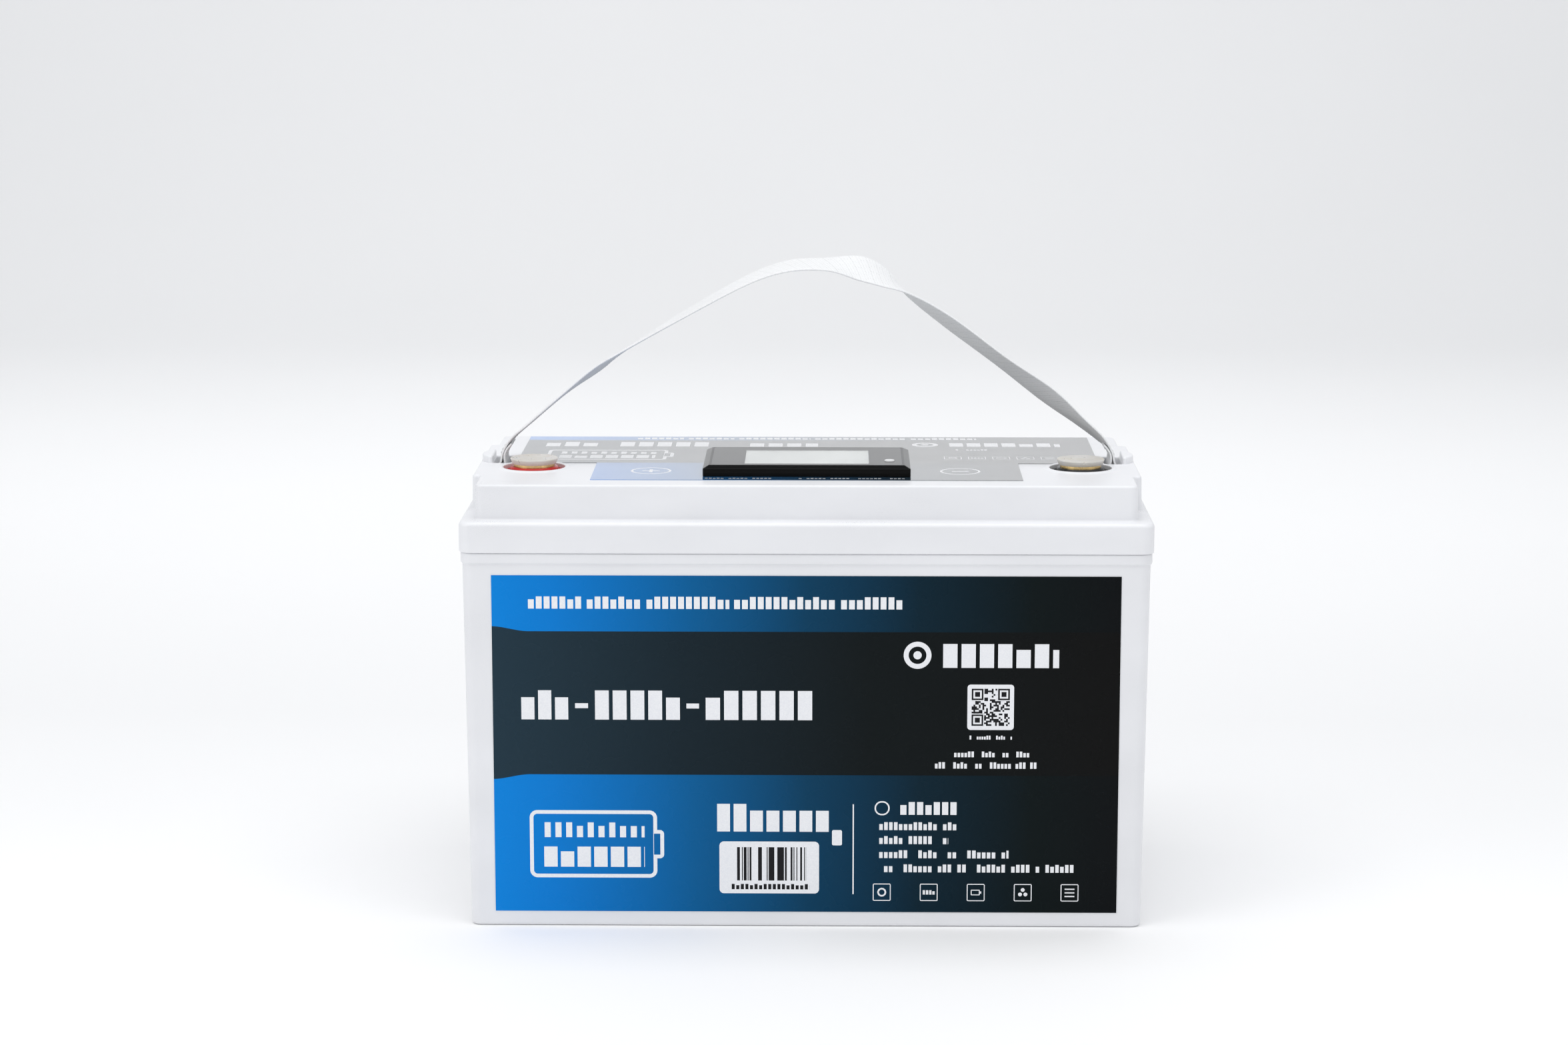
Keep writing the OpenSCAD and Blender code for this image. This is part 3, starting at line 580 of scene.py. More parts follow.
def battery_mark(p, x0, x1, y0, y1):
    """Outline of a battery with its cap at the right, and two lines of blocks inside."""
    m, h = p.m, y1 - y0
    s = 0.027 * h
    body = p.sdf((x0 + x1) / 2, (y0 + y1) / 2, (x1 - x0) / 2, h / 2, 0.11 * h)
    nub = p.sdf(x1, (y0 + y1) / 2, 0.1 * h, 0.21 * h, 0.06 * h)
    d = m.math("MINIMUM", body, nub)
    p.add(p.below(m.math("ABSOLUTE", m.math("ADD", d, s)), s))
    left, right = x0 + 0.18 * h, x1 - 0.18 * h
    p.add(p.blocks(left, right, y0 + 0.60 * h, y0 + 0.82 * h, 0.155 * h, 40, 0.22, gaps=False))
    p.add(p.blocks(left, right, y0 + 0.16 * h, y0 + 0.46 * h, 0.24 * h, 61, 0.1, gaps=False))


def sign_mark(p, cx, cy, r, plus):
    """A plus or minus sign in a ring."""
    ring = p.sdf(cx, cy, r, r, r)
    p.add(p.below(p.m.math("ABSOLUTE", p.m.math("ADD", ring, 0.55)), 0.55))
    p.add(p.box(cx - 0.42 * r, cx + 0.42 * r, cy - 0.8, cy + 0.8))
    if plus:
        p.add(p.box(cx - 0.8, cx + 0.8, cy - 0.42 * r, cy + 0.42 * r))


def icon_row(p, centres, cy, half):
    """Small framed tiles, each with a plain shape inside."""
    m = p.m
    for k, cx in enumerate(centres):
        p.add(p.frame(cx - half, cx + half, cy - half, cy + half, 0.16 * half, 0.42))
        if k == 0:
            d = p.sdf(cx, cy, 0.5 * half, 0.5 * half, 0.5 * half)
            p.add(p.below(m.math("ABSOLUTE", m.math("ADD", d, 0.4)), 0.4))
        elif k == 1:
            p.add(p.blocks(cx - 0.72 * half, cx + 0.72 * half, cy - 0.25 * half, cy + 0.25 * half,
                           0.36 * half, 5, gaps=False))
        elif k == 2:
            p.add(p.frame(cx - 0.55 * half, cx + 0.45 * half, cy - 0.32 * half, cy + 0.32 * half, 0.3, 0.42))
            p.add(p.box(cx + 0.45 * half, cx + 0.62 * half, cy - 0.13 * half, cy + 0.13 * half))
        elif k == 3:
            for dx, dy in ((-0.3, -0.2), (0.3, -0.2), (0.0, 0.32)):
                r = 0.22 * half
                p.add(p.below(p.sdf(cx + dx * half, cy + dy * half, r, r, r)))
        else:
            for dy in (-0.42, 0.0, 0.42):
                p.add(p.box(cx - 0.55 * half, cx + 0.55 * half, cy + dy * half - 0.3, cy + dy * half + 0.3))


def header_mark(p, x0, y0, h):
    """A ring round a dot, followed by large blocks: a plain header."""
    m = p.m
    r = h / 2
    d = p.sdf(x0 + r, y0 + r, r, r, r)
    p.add(p.below(m.math("ABSOLUTE", m.math("ADD", d, 0.09 * h)), 0.09 * h))
    p.add(p.below(p.sdf(x0 + r, y0 + r, 0.3 * r, 0.3 * r, 0.3 * r)))
    p.add(p.blocks(x0 + 1.35 * h, x0 + 5.6 * h, y0 + 0.04 * h, y0 + 0.92 * h, 0.66 * h, 91, 0.11, gaps=False))


def front_print():
    m = Mat("front_print", rough=0.3, Specular_IOR_Level=0.1)
    x, _, z = m.xyz()
    p = Print(m, m.math("MULTIPLY", x, 1000.0), m.math("MULTIPLY", z, 1000.0))
    p.rough = 0.27
    ground = print_ground(p, 145.4, 75.3, 2.4)
    title = ((-132.6, -106.6), (-104.6, -78.2), (-76.2, -36.4), (-34.6, 14.6), (16.2, 46.2))
    for k, (a, b) in enumerate(title):
        p.add(p.blocks(a, b, 156.4, 162.3, 3.75, 11 * k + 3, 0.13, gaps=False))
    for k, (a, b, cell) in enumerate(((-136.8, -112.6, 8.07), (-101.6, -59.2, 8.48), (-48.8, 4.0, 8.8))):
        p.add(p.blocks(a, b, 102.3, 116.6, cell, 23 + 7 * k, 0.11, gaps=False))
    p.add(p.box(-110.2, -104.0, 107.9, 110.3))
    p.add(p.box(-57.0, -51.0, 107.9, 110.3))
    header_mark(p, 46.5, 127.6, 13.2)
    p.add(p.box(77.0, 99.2, 97.8, 120.0, 1.6))
    p.add(p.blocks(78.0, 98.4, 93.1, 95.0, 1.15, 31))
    p.add(p.blocks(69.0, 106.8, 84.4, 87.2, 1.65, 33))
    p.add(p.blocks(61.5, 114.2, 78.8, 81.9, 1.75, 37))
    battery_mark(p, -132.6, -71.4, 24.2, 57.6)
    p.add(p.blocks(-43.4, 11.6, 47.3, 61.0, 7.9, 52, 0.11, gaps=False))
    p.add(p.box(12.6, 17.4, 40.6, 48.2, 0.8))
    p.add(p.box(-41.5, 6.4, 16.6, 42.4, 2.2))
    p.add(p.box(22.5, 23.1, 16.4, 61.0))
    p.add(p.frame(33.0, 40.2, 55.6, 62.6, 3.4, 0.7))
    p.add(p.blocks(44.8, 73.0, 55.9, 62.2, 4.0, 71, 0.13, gaps=False))
    for row, (zz, xe) in enumerate(((48.3, 72.6), (41.4, 68.4), (34.4, 97.4), (27.4, 131.0))):
        p.add(p.blocks(32.6, xe, zz, zz + 3.9, 2.35, 13 * row + 7))
    icon_row(p, (36.6, 59.2, 81.8, 104.4, 126.9), 17.4, 4.3)
    marks = m.math("MAXIMUM", p.cells(79.0, 97.2, 99.8, 118.0, 0.867, 0.867, 4.0, 0.5),
                   p.cells(-34.4, 0.2, 23.0, 39.6, 0.46, 60.0, 9.0, 0.52))
    marks = m.math("MAXIMUM", marks, p.blocks(-36.0, 1.8, 18.6, 21.3, 2.2, 83, 0.16, gaps=False))
    for cx, cy in ((81.8, 115.2), (94.4, 115.2), (81.8, 102.6)):
        clear = p.box(cx - 3.2, cx + 3.2, cy - 3.2, cy + 3.2)
        square = m.math("MAXIMUM", p.frame(cx - 2.8, cx + 2.8, cy - 2.8, cy + 2.8, 0.2, 0.8),
                        p.box(cx - 1.2, cx + 1.2, cy - 1.2, cy + 1.2))
        marks = m.math("MAXIMUM", m.math("MULTIPLY", marks, m.math("SUBTRACT", 1.0, clear)), square)
    print_finish(p, ground, marks)
    return m


def top_print():
    m = Mat("top_print", rough=0.14, Specular_IOR_Level=0.5, Coat_Weight=1.0, Coat_Roughness=0.05,
            Coat_IOR=1.6)
    x, y, _ = m.xyz()
    p = Print(m, m.math("MULTIPLY", x, 1000.0), m.math("MULTIPLY", y, 1000.0))
    p.rough = 0.16
    # Painted reflection: the top label's bands are a lighter copy of the front label's (1.25 times plus
    # 0.02), standing in for the bright backdrop mirrored in its glossy film.
    ground = print_ground(p, 63.5, -11.5, 1.8, [(a, tuple(1.25 * c + 0.02 for c in b)) for a, b in BAND])
    for k, (a, b) in enumerate(((-88.0, -64.0), (-62.0, -38.0), (-36.0, 1.0), (3.0, 50.0), (52.0, 86.0))):
        p.add(p.blocks(a, b, 67.0, 72.6, 3.6, 11 * k + 3, 0.13, gaps=False))
    p.add(p.blocks(-134.0, 5.0, 42.5, 57.0, 9.4, 23, 0.12))
    battery_mark(p, -130.0, -70.0, -1.5, 30.5)
    header_mark(p, 52.5, 43.0, 13.4)
    p.add(p.blocks(74.0, 92.0, 31.0, 34.4, 1.8, 31))
    icon_row(p, (72.0, 84.0, 96.0, 108.0, 120.0), 6.0, 4.4)
    sign_mark(p, -75.6, -36.5, 9.8, True)
    sign_mark(p, 74.3, -36.5, 9.8, False)
    p.add(p.blocks(-49.0, -14.0, -60.6, -57.8, 1.9, 15))
    p.add(p.blocks(-4.0, 49.0, -60.6, -57.8, 1.9, 19))
    print_finish(p, ground)
    return m


dress(front_print(), "front_label")
dress(top_print(), "top_label")

# ------------------------------------------------------------------ display


def gloss_black():
    """Polished black plastic with faint finger marks."""
    m = Mat("gloss_black", (0.003, 0.003, 0.003), 0.09, Specular_IOR_Level=0.1)
    m.bump(m.noise(160, 2.0), 0.000006)
    m.put(m.b, "Roughness", m.span(m.noise(40, 4.0), 0.35, 0.75, 0.07, 0.15))
    return m


def window_material():
    """Clear sheet, printed black on its back apart from the viewing window."""
    lcd_a, lcd_b = box_mm("display_lcd")
    m = Mat("window_sheet", rough=0.06, IOR=1.46, Specular_IOR_Level=0.32)
    x, y, _ = m.xyz()
    p = Print(m, m.math("MULTIPLY", x, 1000.0), m.math("MULTIPLY", y, 1000.0))
    view = p.box(lcd_a.x + 1.0, lcd_b.x - 1.0, lcd_a.y + 0.5, lcd_b.y - 0.5, 0.4)
    smear = m.noise(26, 5.0, stretch=(1, 0.35, 1))
    m.put(m.b, "Roughness", m.span(smear, 0.35, 0.75, 0.045, 0.12))
    m.put(m.b, "Base Color", m.mix(view, (0.012, 0.012, 0.013), (0.98, 0.985, 0.98)))
    m.put(m.b, "Transmission Weight", view)
    m.bump(m.noise(300, 2.0), 0.000003)
    return m


def lcd_material():
    """Pale unlit panel with faint segments, given a faint painted glow: its emission brightens it though it
    is no lamp.
    """
    centre = middle_mm("display_lcd")
    # Painted light: a weak pale emission lifts the unlit panel's brightness.
    m = Mat("lcd_panel", rough=0.35, Specular_IOR_Level=0.4, Emission_Strength=0.42)
    m.put(m.b, "Emission Color", (0.86, 0.9, 0.88, 1))
    x, y, _ = m.xyz()
    p = Print(m, m.math("MULTIPLY", x, 1000.0), m.math("MULTIPLY", y, 1000.0))
    cx, cy = centre.x, centre.y
    for k in range(4):
        p.add(p.frame(cx - 23 + 9.5 * k, cx - 17 + 9.5 * k, cy - 6, cy + 6, 0.3, 1.2))
        p.add(p.box(cx - 22 + 9.5 * k, cx - 18 + 9.5 * k, cy - 0.6, cy + 0.6))
    for k in range(5):
        p.add(p.box(cx - 23 + 5 * k, cx - 19.4 + 5 * k, cy - 13.5, cy - 10.5))
    p.add(p.frame(cx + 16, cx + 25, cy - 4, cy + 4, 0.6, 0.7))
    base = m.mix(m.noise(35, 3.0), (0.76, 0.80, 0.78), (0.84, 0.87, 0.85))
    m.put(m.b, "Base Color", m.mix(m.math("MULTIPLY", p.ink, 0.07), base, (0.2, 0.22, 0.22)))
    m.bump(m.noise(2400, 1.0), 0.000004)
    return m


def make_bezel():
    b = Build()
    low, high = box_mm("display_bezel")
    plate = box_mm("display_window")[0]
    cy, w, d = (low.y + high.y) / 2, high.x - low.x, high.y - low.y
    base, top, chamfer = TOP + 0.2, high.z, 3.0

    def level(a, z, r=1.2):
        return corner_loop(box_corners(w - 2 * a, d - 2 * a, max(r - 0.2 * a, 0.4), 0, cy), z, n=6)

    skirt_w, skirt_d = (w - 91.6) / 2, (d - 53.6) / 2
    made = b.loft([level(skirt_w + 1.5, low.z), level(skirt_w, low.z), level(skirt_w, base),
                   level(0.3, base), level(0.05, base + 0.1), level(0, base + 0.35),
                   level(0, top - 1.75), level(0.06, top - 1.55), level(0.25, top - 1.38),
                   level(chamfer - 0.3, top - 0.12), level(chamfer - 0.1, top - 0.03),
                   level(chamfer + 0.15, top), level(3.9, top), level(4.0, top - 0.08), level(4.0, plate.z),
                   level(skirt_w + 1.5, plate.z)])
    b.close(made)
    o = new_piece("bezel_frame", b.v, b.f, gloss_black(), sharp=50)
    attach(o, "battery")
    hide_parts("display_bezel")


def make_button(material):
    b = Build()
    low, high = box_mm("display_button")
    c, top = (low + high) / 2, high.z
    flange = box_mm("display_window")[0].z - 0.1
    made = turned(b, c.x, c.y, [(2.5, low.z), (2.5, flange - 0.8), (3.3, flange - 0.8), (3.3, flange),
                                (2.5, flange), (2.5, top - 0.45), (2.42, top - 0.2), (2.2, top - 0.05),
                                (1.9, top), (1.2, top - 0.1), (0.6, top - 0.16)], 48)
    b.fill(made[0])
    b.fill(made[-1])
    o = new_piece("button_cap", b.v, b.f, material)
    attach(o, "button")
    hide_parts("display_button")


make_bezel()
dress(window_material(), "display_window")
dress(lcd_material(), "display_lcd")
make_button(moulded("button_plastic", (0.8, 0.8, 0.8), 0.3))

# ------------------------------------------------------------------ terminals

brass = metal("brass", (0.80, 0.58, 0.26), 0.2)
gloss = dict(rough=0.2, tint=0.1, Specular_IOR_Level=0.55)
seal_paint = {"positive": moulded("seal_red", (0.60, 0.012, 0.010), **gloss),
              "negative": moulded("seal_black", (0.012, 0.012, 0.013), **gloss)}


def cap_material():
    m = Mat("milky_cap", rough=0.33, Transmission_Weight=0.42, IOR=1.45, Specular_IOR_Level=0.4)
    cloud = m.noise(120, 4.0)
    m.put(m.b, "Base Color", m.mix(m.span(cloud, 0.35, 0.7), (0.94, 0.925, 0.90), (0.88, 0.84, 0.75)))
    m.put(m.b, "Roughness", m.span(m.noise(420, 3.0), 0.3, 0.7, 0.26, 0.42))
    m.bump(m.noise(700, 3.0), 0.00002)
    return m


milky = cap_material()


def make_post(name):
    """Flanged brass post with a helical M8 thread in its bore."""
    centre, (low, high) = POST[name], box_mm("terminal_" + name)
    top, r, turns = high.z, (high.x - low.x) / 2, 44
    b = Build()
    outer = turned(b, centre.x, centre.y, [(6.0, low.z + 0.5), (6.0, WELL), (r, WELL), (r, top - 0.95),
                                           (r - 0.08, top - 0.7), (r - 0.7, top - 0.1), (r - 0.95, top),
                                           (4.6, top), (4.35, top - 0.08), (3.75, top - 0.7)], turns)
    pitch, depth, steps, minor, ridge = 1.25, 12.0, 90, 3.42, 0.33
    rings = [outer[-1]]
    for s in range(1, steps + 1):
        z = top - 0.7 - depth * s / steps
        ring = []
        for k in range(turns):
            a = 2 * math.pi * k / turns
            phase = ((top - z) / pitch + k / turns) % 1.0
            rr = minor + ridge * abs(2 * phase - 1)
            ring.append((centre.x + rr * math.cos(a), centre.y + rr * math.sin(a), z))
        rings.append(b.ring(ring))
    made = b.loft(rings)
    b.fill(made[-1])
    foot = b.ring(circle(centre.x, centre.y, 5.5, low.z, turns))
    b.loft([foot, outer[0]])
    b.fill(foot)
    o = new_piece("post_" + name, b.v, b.f, brass, sharp=50)
    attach(o, "battery")
    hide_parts("terminal_" + name)


def make_seal(name):
    """Ring that lines the well, with a collar standing round the post."""
    b = Build()
    centre, (low, high) = POST[name], box_mm("terminal_seal_" + name)
    post_low, post_high = box_mm("terminal_" + name)
    r, h = (post_high.x - post_low.x) / 2, high.z
    b.close(turned(b, centre.x, centre.y, [(r + 0.02, low.z), (14.95, low.z), (14.95, h - 0.3),
                                           (14.8, h - 0.05), (14.4, h), (13.9, h - 0.25),
                                           (13.3, h - 1.2), (12.2, h - 1.75), (11.9, h + 0.9),
                                           (11.5, h + 1.9), (11.1, h + 2.2), (r + 0.3, h + 2.25),
                                           (r + 0.02, h + 2.05)]))
    o = new_piece("seal_ring_" + name, b.v, b.f, seal_paint[name], sharp=45)
    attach(o, "battery")
    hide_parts("terminal_seal_" + name)


def make_cap(name):
    """Push-on cap with a flared rim, its top slightly dished inside a moulding ring."""
    b = Build()
    centre, (low, high) = POST[name], box_mm("terminal_cap_" + name)
    post_low, post_high = box_mm("terminal_" + name)
    r, rt, top = (post_high.x - post_low.x) / 2, (high.x - low.x) / 2, high.z
    rb, roof = rt - 0.8, box_mm("terminal_positive")[1].z + 0.1
    made = turned(b, centre.x, centre.y, [(r + 0.15, roof), (r + 0.15, low.z + 0.1), (r + 0.3, low.z),
                                          (rb - 0.15, low.z), (rb, low.z + 0.12), (rt - 0.12, top - 0.75),
                                          (rt, top - 0.45), (rt - 0.05, top - 0.2), (rt - 0.3, top),
                                          (rt - 0.9, top), (rt - 1.3, top - 0.12), (rt - 1.8, top - 0.22),
                                          (7.2, top - 0.26), (7.0, top - 0.18), (6.7, top - 0.18),
                                          (6.5, top - 0.27), (2.0, top - 0.3), (1.6, top - 0.12),
                                          (1.0, top - 0.1)], 64)
    b.fill(made[0])
    b.fill(made[-1])
    o = new_piece("push_cap_" + name, b.v, b.f, milky, sharp=50)
    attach(o, "cap_" + name)
    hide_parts("terminal_cap_" + name)


for terminal in POST:
    make_post(terminal)
    make_seal(terminal)
    make_cap(terminal)

# ------------------------------------------------------------------ carry strap

# The strap's course seen from the front: (x, height above the lid, twist in degrees).
ROUTE = [(-150.5, -7, 0), (-150.5, 3, 0), (-145.5, 11, -4), (-137, 18.5, -4), (-120, 33, -5), (-104, 45, -11),
         (-91, 54, -5), (-61, 72, 2), (-30, 89, 6), (-10, 96, 9), (10, 97, 12), (26, 95, 29), (38, 90, 18),
         (50, 82, -9), (69, 69, -21), (96, 49, -21), (118, 33, -27), (134, 20, -17), (144.5, 11, -11),
         (150.5, 3, 0), (150.5, -7, 0)]


STEP = 0.42
WIDTH = 20.0


def curve_point(p, i, t):
    """Catmull-Rom point between stations i and i + 1."""
    a, b, c, d = (p[max(0, min(len(p) - 1, k))] for k in (i - 1, i, i + 1, i + 2))
    square, cube = a * 2 - b * 5 + c * 4 - d, b * 3 - a - c * 3 + d
    return (b * 2 + (c - a) * t + square * t * t + cube * t * t * t) * 0.5


def strap_path():
    """Evenly spaced stations (x, height, twist) between the two slots."""
    pts = [Vector(p) for p in ROUTE]
    fine = [curve_point(pts, i, k / 40) for i in range(1, len(pts) - 2) for k in range(40)] + [pts[-2]]
    return resample(fine)


def resample(fine):
    """Points STEP apart along a finer row of points."""
    out, left = [fine[0]], STEP
    for a, b in zip(fine, fine[1:]):
        length = (Vector(b[:2]) - Vector(a[:2])).length
        at = left
        while at <= length and length > 0:
            out.append(a + (b - a) * (at / length))
            at += STEP
        left = at - length
    return out


def loop_end(side):
    """From the end of a doubled ply, down, round the pin and back up to the route's first station."""
    r, pin_h, ply_gap = 2.75, PIN.z - TOP, 1.25
    x, pts = side * PIN.x, []
    inner = x - side * ply_gap
    for k in range(30):
        pts.append(Vector((inner - side * 3.6 * (1 - k / 29) ** 2, 9.0 - (9.0 - 2.5) * k / 29, 0)))
    for k in range(1, 10):
        t = k / 9
        pts.append(Vector((inner + side * (ply_gap - r) * t * t * (3 - 2 * t), 2.5 + (pin_h - 2.5) * t, 0)))
    for k in range(1, 24):
        a = math.pi + math.pi * k / 24
        pts.append(Vector((x + side * r * math.cos(a), pin_h + r * math.sin(a), 0)))
    for k in range(10):
        t = k / 9
        pts.append(Vector((x + side * r * (1 - t * t * (3 - 2 * t)), pin_h + (3 - pin_h) * t, 0)))
    return resample(pts)


def webbing_material():
    """Woven polypropylene: bright yarns with painted shade in the low parts between them, along the strip's
    own coordinates.
    """
    m = Mat("webbing", rough=0.6, Specular_IOR_Level=0.3, Sheen_Weight=0.12, Sheen_Roughness=0.5)
    uv = m.node("ShaderNodeAttribute", "Vector", {"attribute_name": "weave"})
    n = m.t.nodes.new("ShaderNodeSeparateXYZ")
    m.t.links.new(uv, n.inputs[0])
    along, across, high = n.outputs[0], n.outputs[1], n.outputs[2]
    stretched = m.node("ShaderNodeCombineXYZ", 0, X=m.math("MULTIPLY", along, 900.0),
                       Y=m.math("MULTIPLY", across, 5200.0), Z=0.0)
    fibre = m.noise(1.0, 3.0, vector=stretched)
    yarn = m.mix(m.span(fibre, 0.3, 0.7), (0.78, 0.785, 0.79), (0.88, 0.885, 0.89))
    soil = m.noise(45, 4.0)
    yarn = m.mix(m.span(soil, 0.45, 0.8, 0.0, 0.35), yarn, (0.74, 0.735, 0.72))
    # Painted shade: the low parts of the weave and the strip's edges are darkened to grey, standing in for
    # shade in the grooves between yarns.
    m.put(m.b, "Base Color", m.mix(m.span(high, 0.05, 0.5, smooth=True), (0.36, 0.37, 0.38), yarn))
    m.put(m.b, "Roughness", m.span(fibre, 0.2, 0.8, 0.5, 0.7))
    m.bump(fibre, 0.00004)
    return m


def weave_height(u, v):
    """Twill ribs that lean across the strip, each made of short floats. Millimetres in, 0 to 1 out."""
    rib_pitch, float_width, lean = 1.55, 1.3, 0.42
    slant = u + lean * v
    rib = abs(math.sin(math.pi * slant / rib_pitch)) ** 0.6
    float_row = abs(math.sin(math.pi * (v / float_width + 0.5 * math.floor(slant / rib_pitch)))) ** 0.5
    return rib * (0.55 + 0.45 * float_row)


def strip_frame(stations, i):
    """Centre of the strip at one station, with its directions along, across and outwards."""
    a, c = stations[max(0, i - 2)], stations[min(len(stations) - 1, i + 2)]
    along = Vector((c[0] - a[0], 0, c[1] - a[1])).normalized()
    up = along.cross(Vector((0, 1, 0))) * -1
    twist = math.radians(stations[i][2])
    side = math.cos(twist) * Vector((0, 1, 0)) - math.sin(twist) * up
    return Vector((stations[i][0], 0, stations[i][1] + TOP)), along, side, along.cross(side)


def sweep(stations):
    """A woven strip along stations of (x, height above the lid, twist), with real relief on both faces."""
    v_steps, thick, relief = 40, 1.05, 0.28
    verts, faces, weave = [], [], []
    v_line = [-WIDTH / 2 + WIDTH * k / v_steps for k in range(v_steps + 1)]
    edge = [math.pi * k / 5 for k in range(1, 5)]
    total = len(stations)
    for i in range(total):
        centre, along, side, normal = strip_frame(stations, i)
        u = i * STEP
        for face in (1, -1):
            for v in v_line[:: face]:
                h = weave_height(u, v if face > 0 else v + 0.7)
                fall = min(1.0, (WIDTH / 2 - abs(v)) / 0.9)
                off = thick / 2 - 0.12 * (1 - fall) + relief * (h - 0.5) * (0.35 + 0.65 * fall)
                verts.append(centre + side * v + normal * face * off)
                weave.append((u * MM, v * MM, h))
            for t in edge:
                h = weave_height(u, 9.5 * face)
                rad = (thick / 2 - 0.1) * (1 + 0.12 * (h - 0.5))
                verts.append(centre + side * face * (WIDTH / 2 + rad * 0.55 * math.sin(t))
                             + normal * face * rad * math.cos(t))
                weave.append((u * MM, face * WIDTH / 2 * MM, 0.4 + 0.6 * h))
    n = 2 * (v_steps + 1) + 2 * len(edge)
    for i in range(total - 1):
        for k in range(n):
            a, b = i * n + k, i * n + (k + 1) % n
            faces.append((a, b, b + n, a + n))
    half = v_steps + 1 + len(edge)
    for base in (0, (total - 1) * n):
        for k in range(v_steps):
            # the second face runs the other way across the strip
            faces.append((base + k, base + k + 1, base + half + v_steps - k - 1, base + half + v_steps - k))
        for start, end in ((base + v_steps, base + half), (base + half + v_steps, base)):
            faces.append((start, *(start + 1 + j for j in range(len(edge))), end))
    return verts, faces, weave


def stitching(stations, verts, faces, weave):
    """Rows of dense zigzag thread that hold each doubled end, standing proud of the webbing."""
    per_row, pitch = 25, 0.7
    for h in (4.4, 6.0, 7.6):
        for i in range(1, len(stations)):
            if (stations[i - 1][1] - h) * (stations[i][1] - h) > 0:
                continue
            for k in range(per_row):
                v = pitch * (k - (per_row - 1) / 2)
                thread(strip_frame(stations, i), v, 0.34 if k % 2 else -0.34, i * STEP, verts, faces, weave)


def thread(at, v, lean, u, verts, faces, weave):
    """One short arched stitch: six rings of six points."""
    centre, along, side, normal = at
    rings, sides, length, radius = 6, 6, 1.25, 0.2
    start = len(verts)
    for j in range(rings):
        t = j / (rings - 1) - 0.5
        mid = centre + along * (length * t) + side * (v + lean * 2 * t)
        mid += normal * (0.62 + 0.2 * math.cos(math.pi * t))
        for a in range(sides):
            turn = 2 * math.pi * a / sides
            verts.append(mid + radius * (side * math.cos(turn) + normal * math.sin(turn)))
            weave.append((u * MM, v * MM, 1.0))
    for j in range(rings - 1):
        for a in range(sides):
            p, q = start + sides * j + a, start + sides * j + (a + 1) % sides
            faces.append((p, q, q + sides, p + sides))
    for base in (start, start + sides * (rings - 1)):
        faces.append(tuple(base + a for a in range(sides)))


def make_strap():
    stations = loop_end(-1) + strap_path()[1:] + loop_end(1)[::-1]
    v, f, w = sweep(stations)
    stitching(stations, v, f, w)
    mesh = bpy.data.meshes.new("carry_webbing")
    mesh.from_pydata([tuple(c * MM for c in p) for p in v], [], f)
    layer = mesh.attributes.new("weave", "FLOAT_VECTOR", "POINT")
    layer.data.foreach_set("vector", [c for p in w for c in p])
    bm = bmesh.new()
    bm.from_mesh(mesh)
    bmesh.ops.recalc_face_normals(bm, faces=bm.faces)
    bm.to_mesh(mesh)
    bm.free()
    mesh.shade_smooth()
    mesh.materials.append(webbing_material().m)
    o = bpy.data.objects.new("carry_webbing", mesh)
    bpy.context.scene.collection.objects.link(o)
    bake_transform(o)
    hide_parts("carry_strap", "strap_loop_left", "strap_loop_right")


make_strap()

# ------------------------------------------------------------------ inner parts and plain CAD nodes

steel = metal("plated_steel", (0.66, 0.65, 0.61), 0.28)
dress(steel, "strap_pin_left", "strap_pin_right", "terminal_washers", "terminal_nuts", "terminal_lock_nuts",
      "cell_nuts", "display_screws", "display_switch", "board_screws", "board_standoffs")
dress(metal("cell_metal", (0.8, 0.8, 0.79), 0.3), "cell_terminals", "cell_vents")
dress(metal("bar_metal", (0.78, 0.74, 0.67), 0.34, brushed=(0.1, 1, 1)), "busbar_1", "busbar_2", "busbar_3")
dress(metal("lug_metal", (0.78, 0.77, 0.75), 0.33), "cable_lugs")
dress(metal("sink_metal", (0.74, 0.75, 0.76), 0.36, brushed=(0.08, 1, 1)), "board_heat_sink")
dress(moulded("cell_film", (0.012, 0.10, 0.42), 0.22, tint=0.08), "cell_1", "cell_2", "cell_3", "cell_4")
dress(moulded("epoxy_sheet", (0.62, 0.56, 0.28), 0.5, tint=0.1),
      "cell_spacers", "end_plate_left", "end_plate_right")
dress(moulded("band_plastic", (0.78, 0.78, 0.75), 0.45), "pack_bands")
dress(moulded("foam", (0.06, 0.06, 0.065), 0.9, grain=0.0002, grain_scale=900, tint=0.15),
      "foam_base", "foam_left", "foam_right", "foam_strips")
dress(moulded("tray_sheet", (0.07, 0.33, 0.20), 0.4, tint=0.1), "board_tray")
dress(moulded("chip_black", (0.02, 0.02, 0.021), 0.45), "board_transistors", "display_back_cover")
dress(moulded("socket_ivory", (0.75, 0.70, 0.56), 0.4), "balance_socket")
dress(moulded("lead_red", (0.5, 0.015, 0.012), 0.35), "cable_positive", "balance_leads")
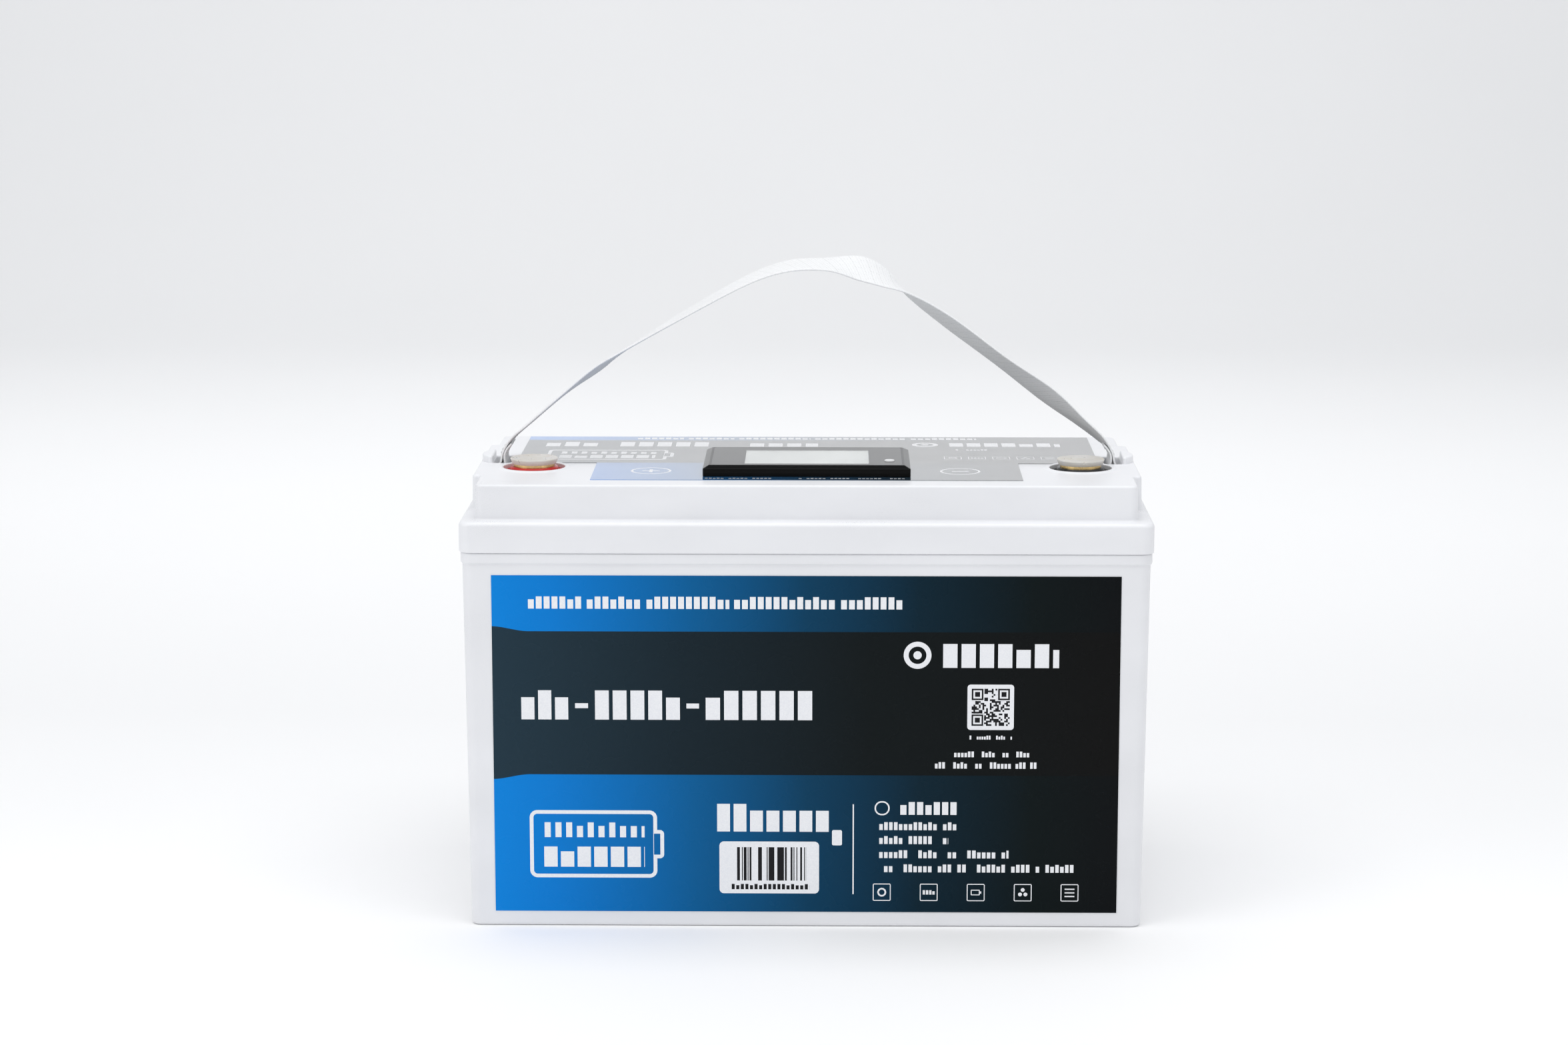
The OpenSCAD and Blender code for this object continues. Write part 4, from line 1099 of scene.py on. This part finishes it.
dress(moulded("lead_black", (0.016, 0.016, 0.016), 0.38),
      "cable_pack_negative", "cable_negative", "display_lead", "temperature_probe")
dress(moulded("rubber_black", (0.02, 0.02, 0.02), 0.6), "terminal_gaskets")
dress(moulded("adhesive", (0.42, 0.43, 0.44), 0.5), "lid_seal")


def board_material():
    """Green board with pale tracks and pads."""
    m = Mat("circuit_board", rough=0.3)
    x, y, _ = m.xyz()
    p = Print(m, m.math("MULTIPLY", x, 1000.0), m.math("MULTIPLY", y, 1000.0))
    p.add(p.cells(-66, 66, -50, 44, 5.2, 1.3, 3.0, 0.3))
    tint = m.mix(m.noise(40, 3.0), (0.008, 0.075, 0.03), (0.015, 0.12, 0.05))
    m.put(m.b, "Base Color", m.mix(m.math("MULTIPLY", p.ink, 0.4), tint, (0.05, 0.22, 0.08)))
    m.bump(p.ink, 0.00004)
    return m


dress(board_material(), "protection_board", "display_board")

# ------------------------------------------------------------------ stage


def make_stage():
    """A paper sweep: floor, quarter-round cove and wall, in metres."""
    near, bend, radius, height, half_width = -4.0, 2.2, 1.2, 5.0, 6.0
    turns = [math.pi / 2 * k / 16 for k in range(1, 17)]
    cove = [(bend + radius * math.sin(t), radius - radius * math.cos(t)) for t in turns]
    profile = [(near, 0.0), (bend, 0.0), *cove, (bend + radius, height)]
    verts = [(x, y, z) for y, z in profile for x in (-half_width, half_width)]
    faces = [(2 * k, 2 * k + 1, 2 * k + 3, 2 * k + 2) for k in range(len(profile) - 1)]
    mesh = bpy.data.meshes.new("backdrop")
    mesh.from_pydata(verts, [], faces)
    mesh.shade_smooth()
    o = bpy.data.objects.new("backdrop", mesh)
    bpy.context.scene.collection.objects.link(o)
    m = Mat("backdrop_paper", (0.9, 0.9, 0.9), 0.7, Specular_IOR_Level=0.15)
    m.put(m.b, "Base Color", m.mix(m.noise(3, 2.0), (0.95, 0.95, 0.95), (0.97, 0.97, 0.97)))
    mesh.materials.append(m.m)


make_stage()
bpy.context.scene.view_settings.view_transform = "Standard"
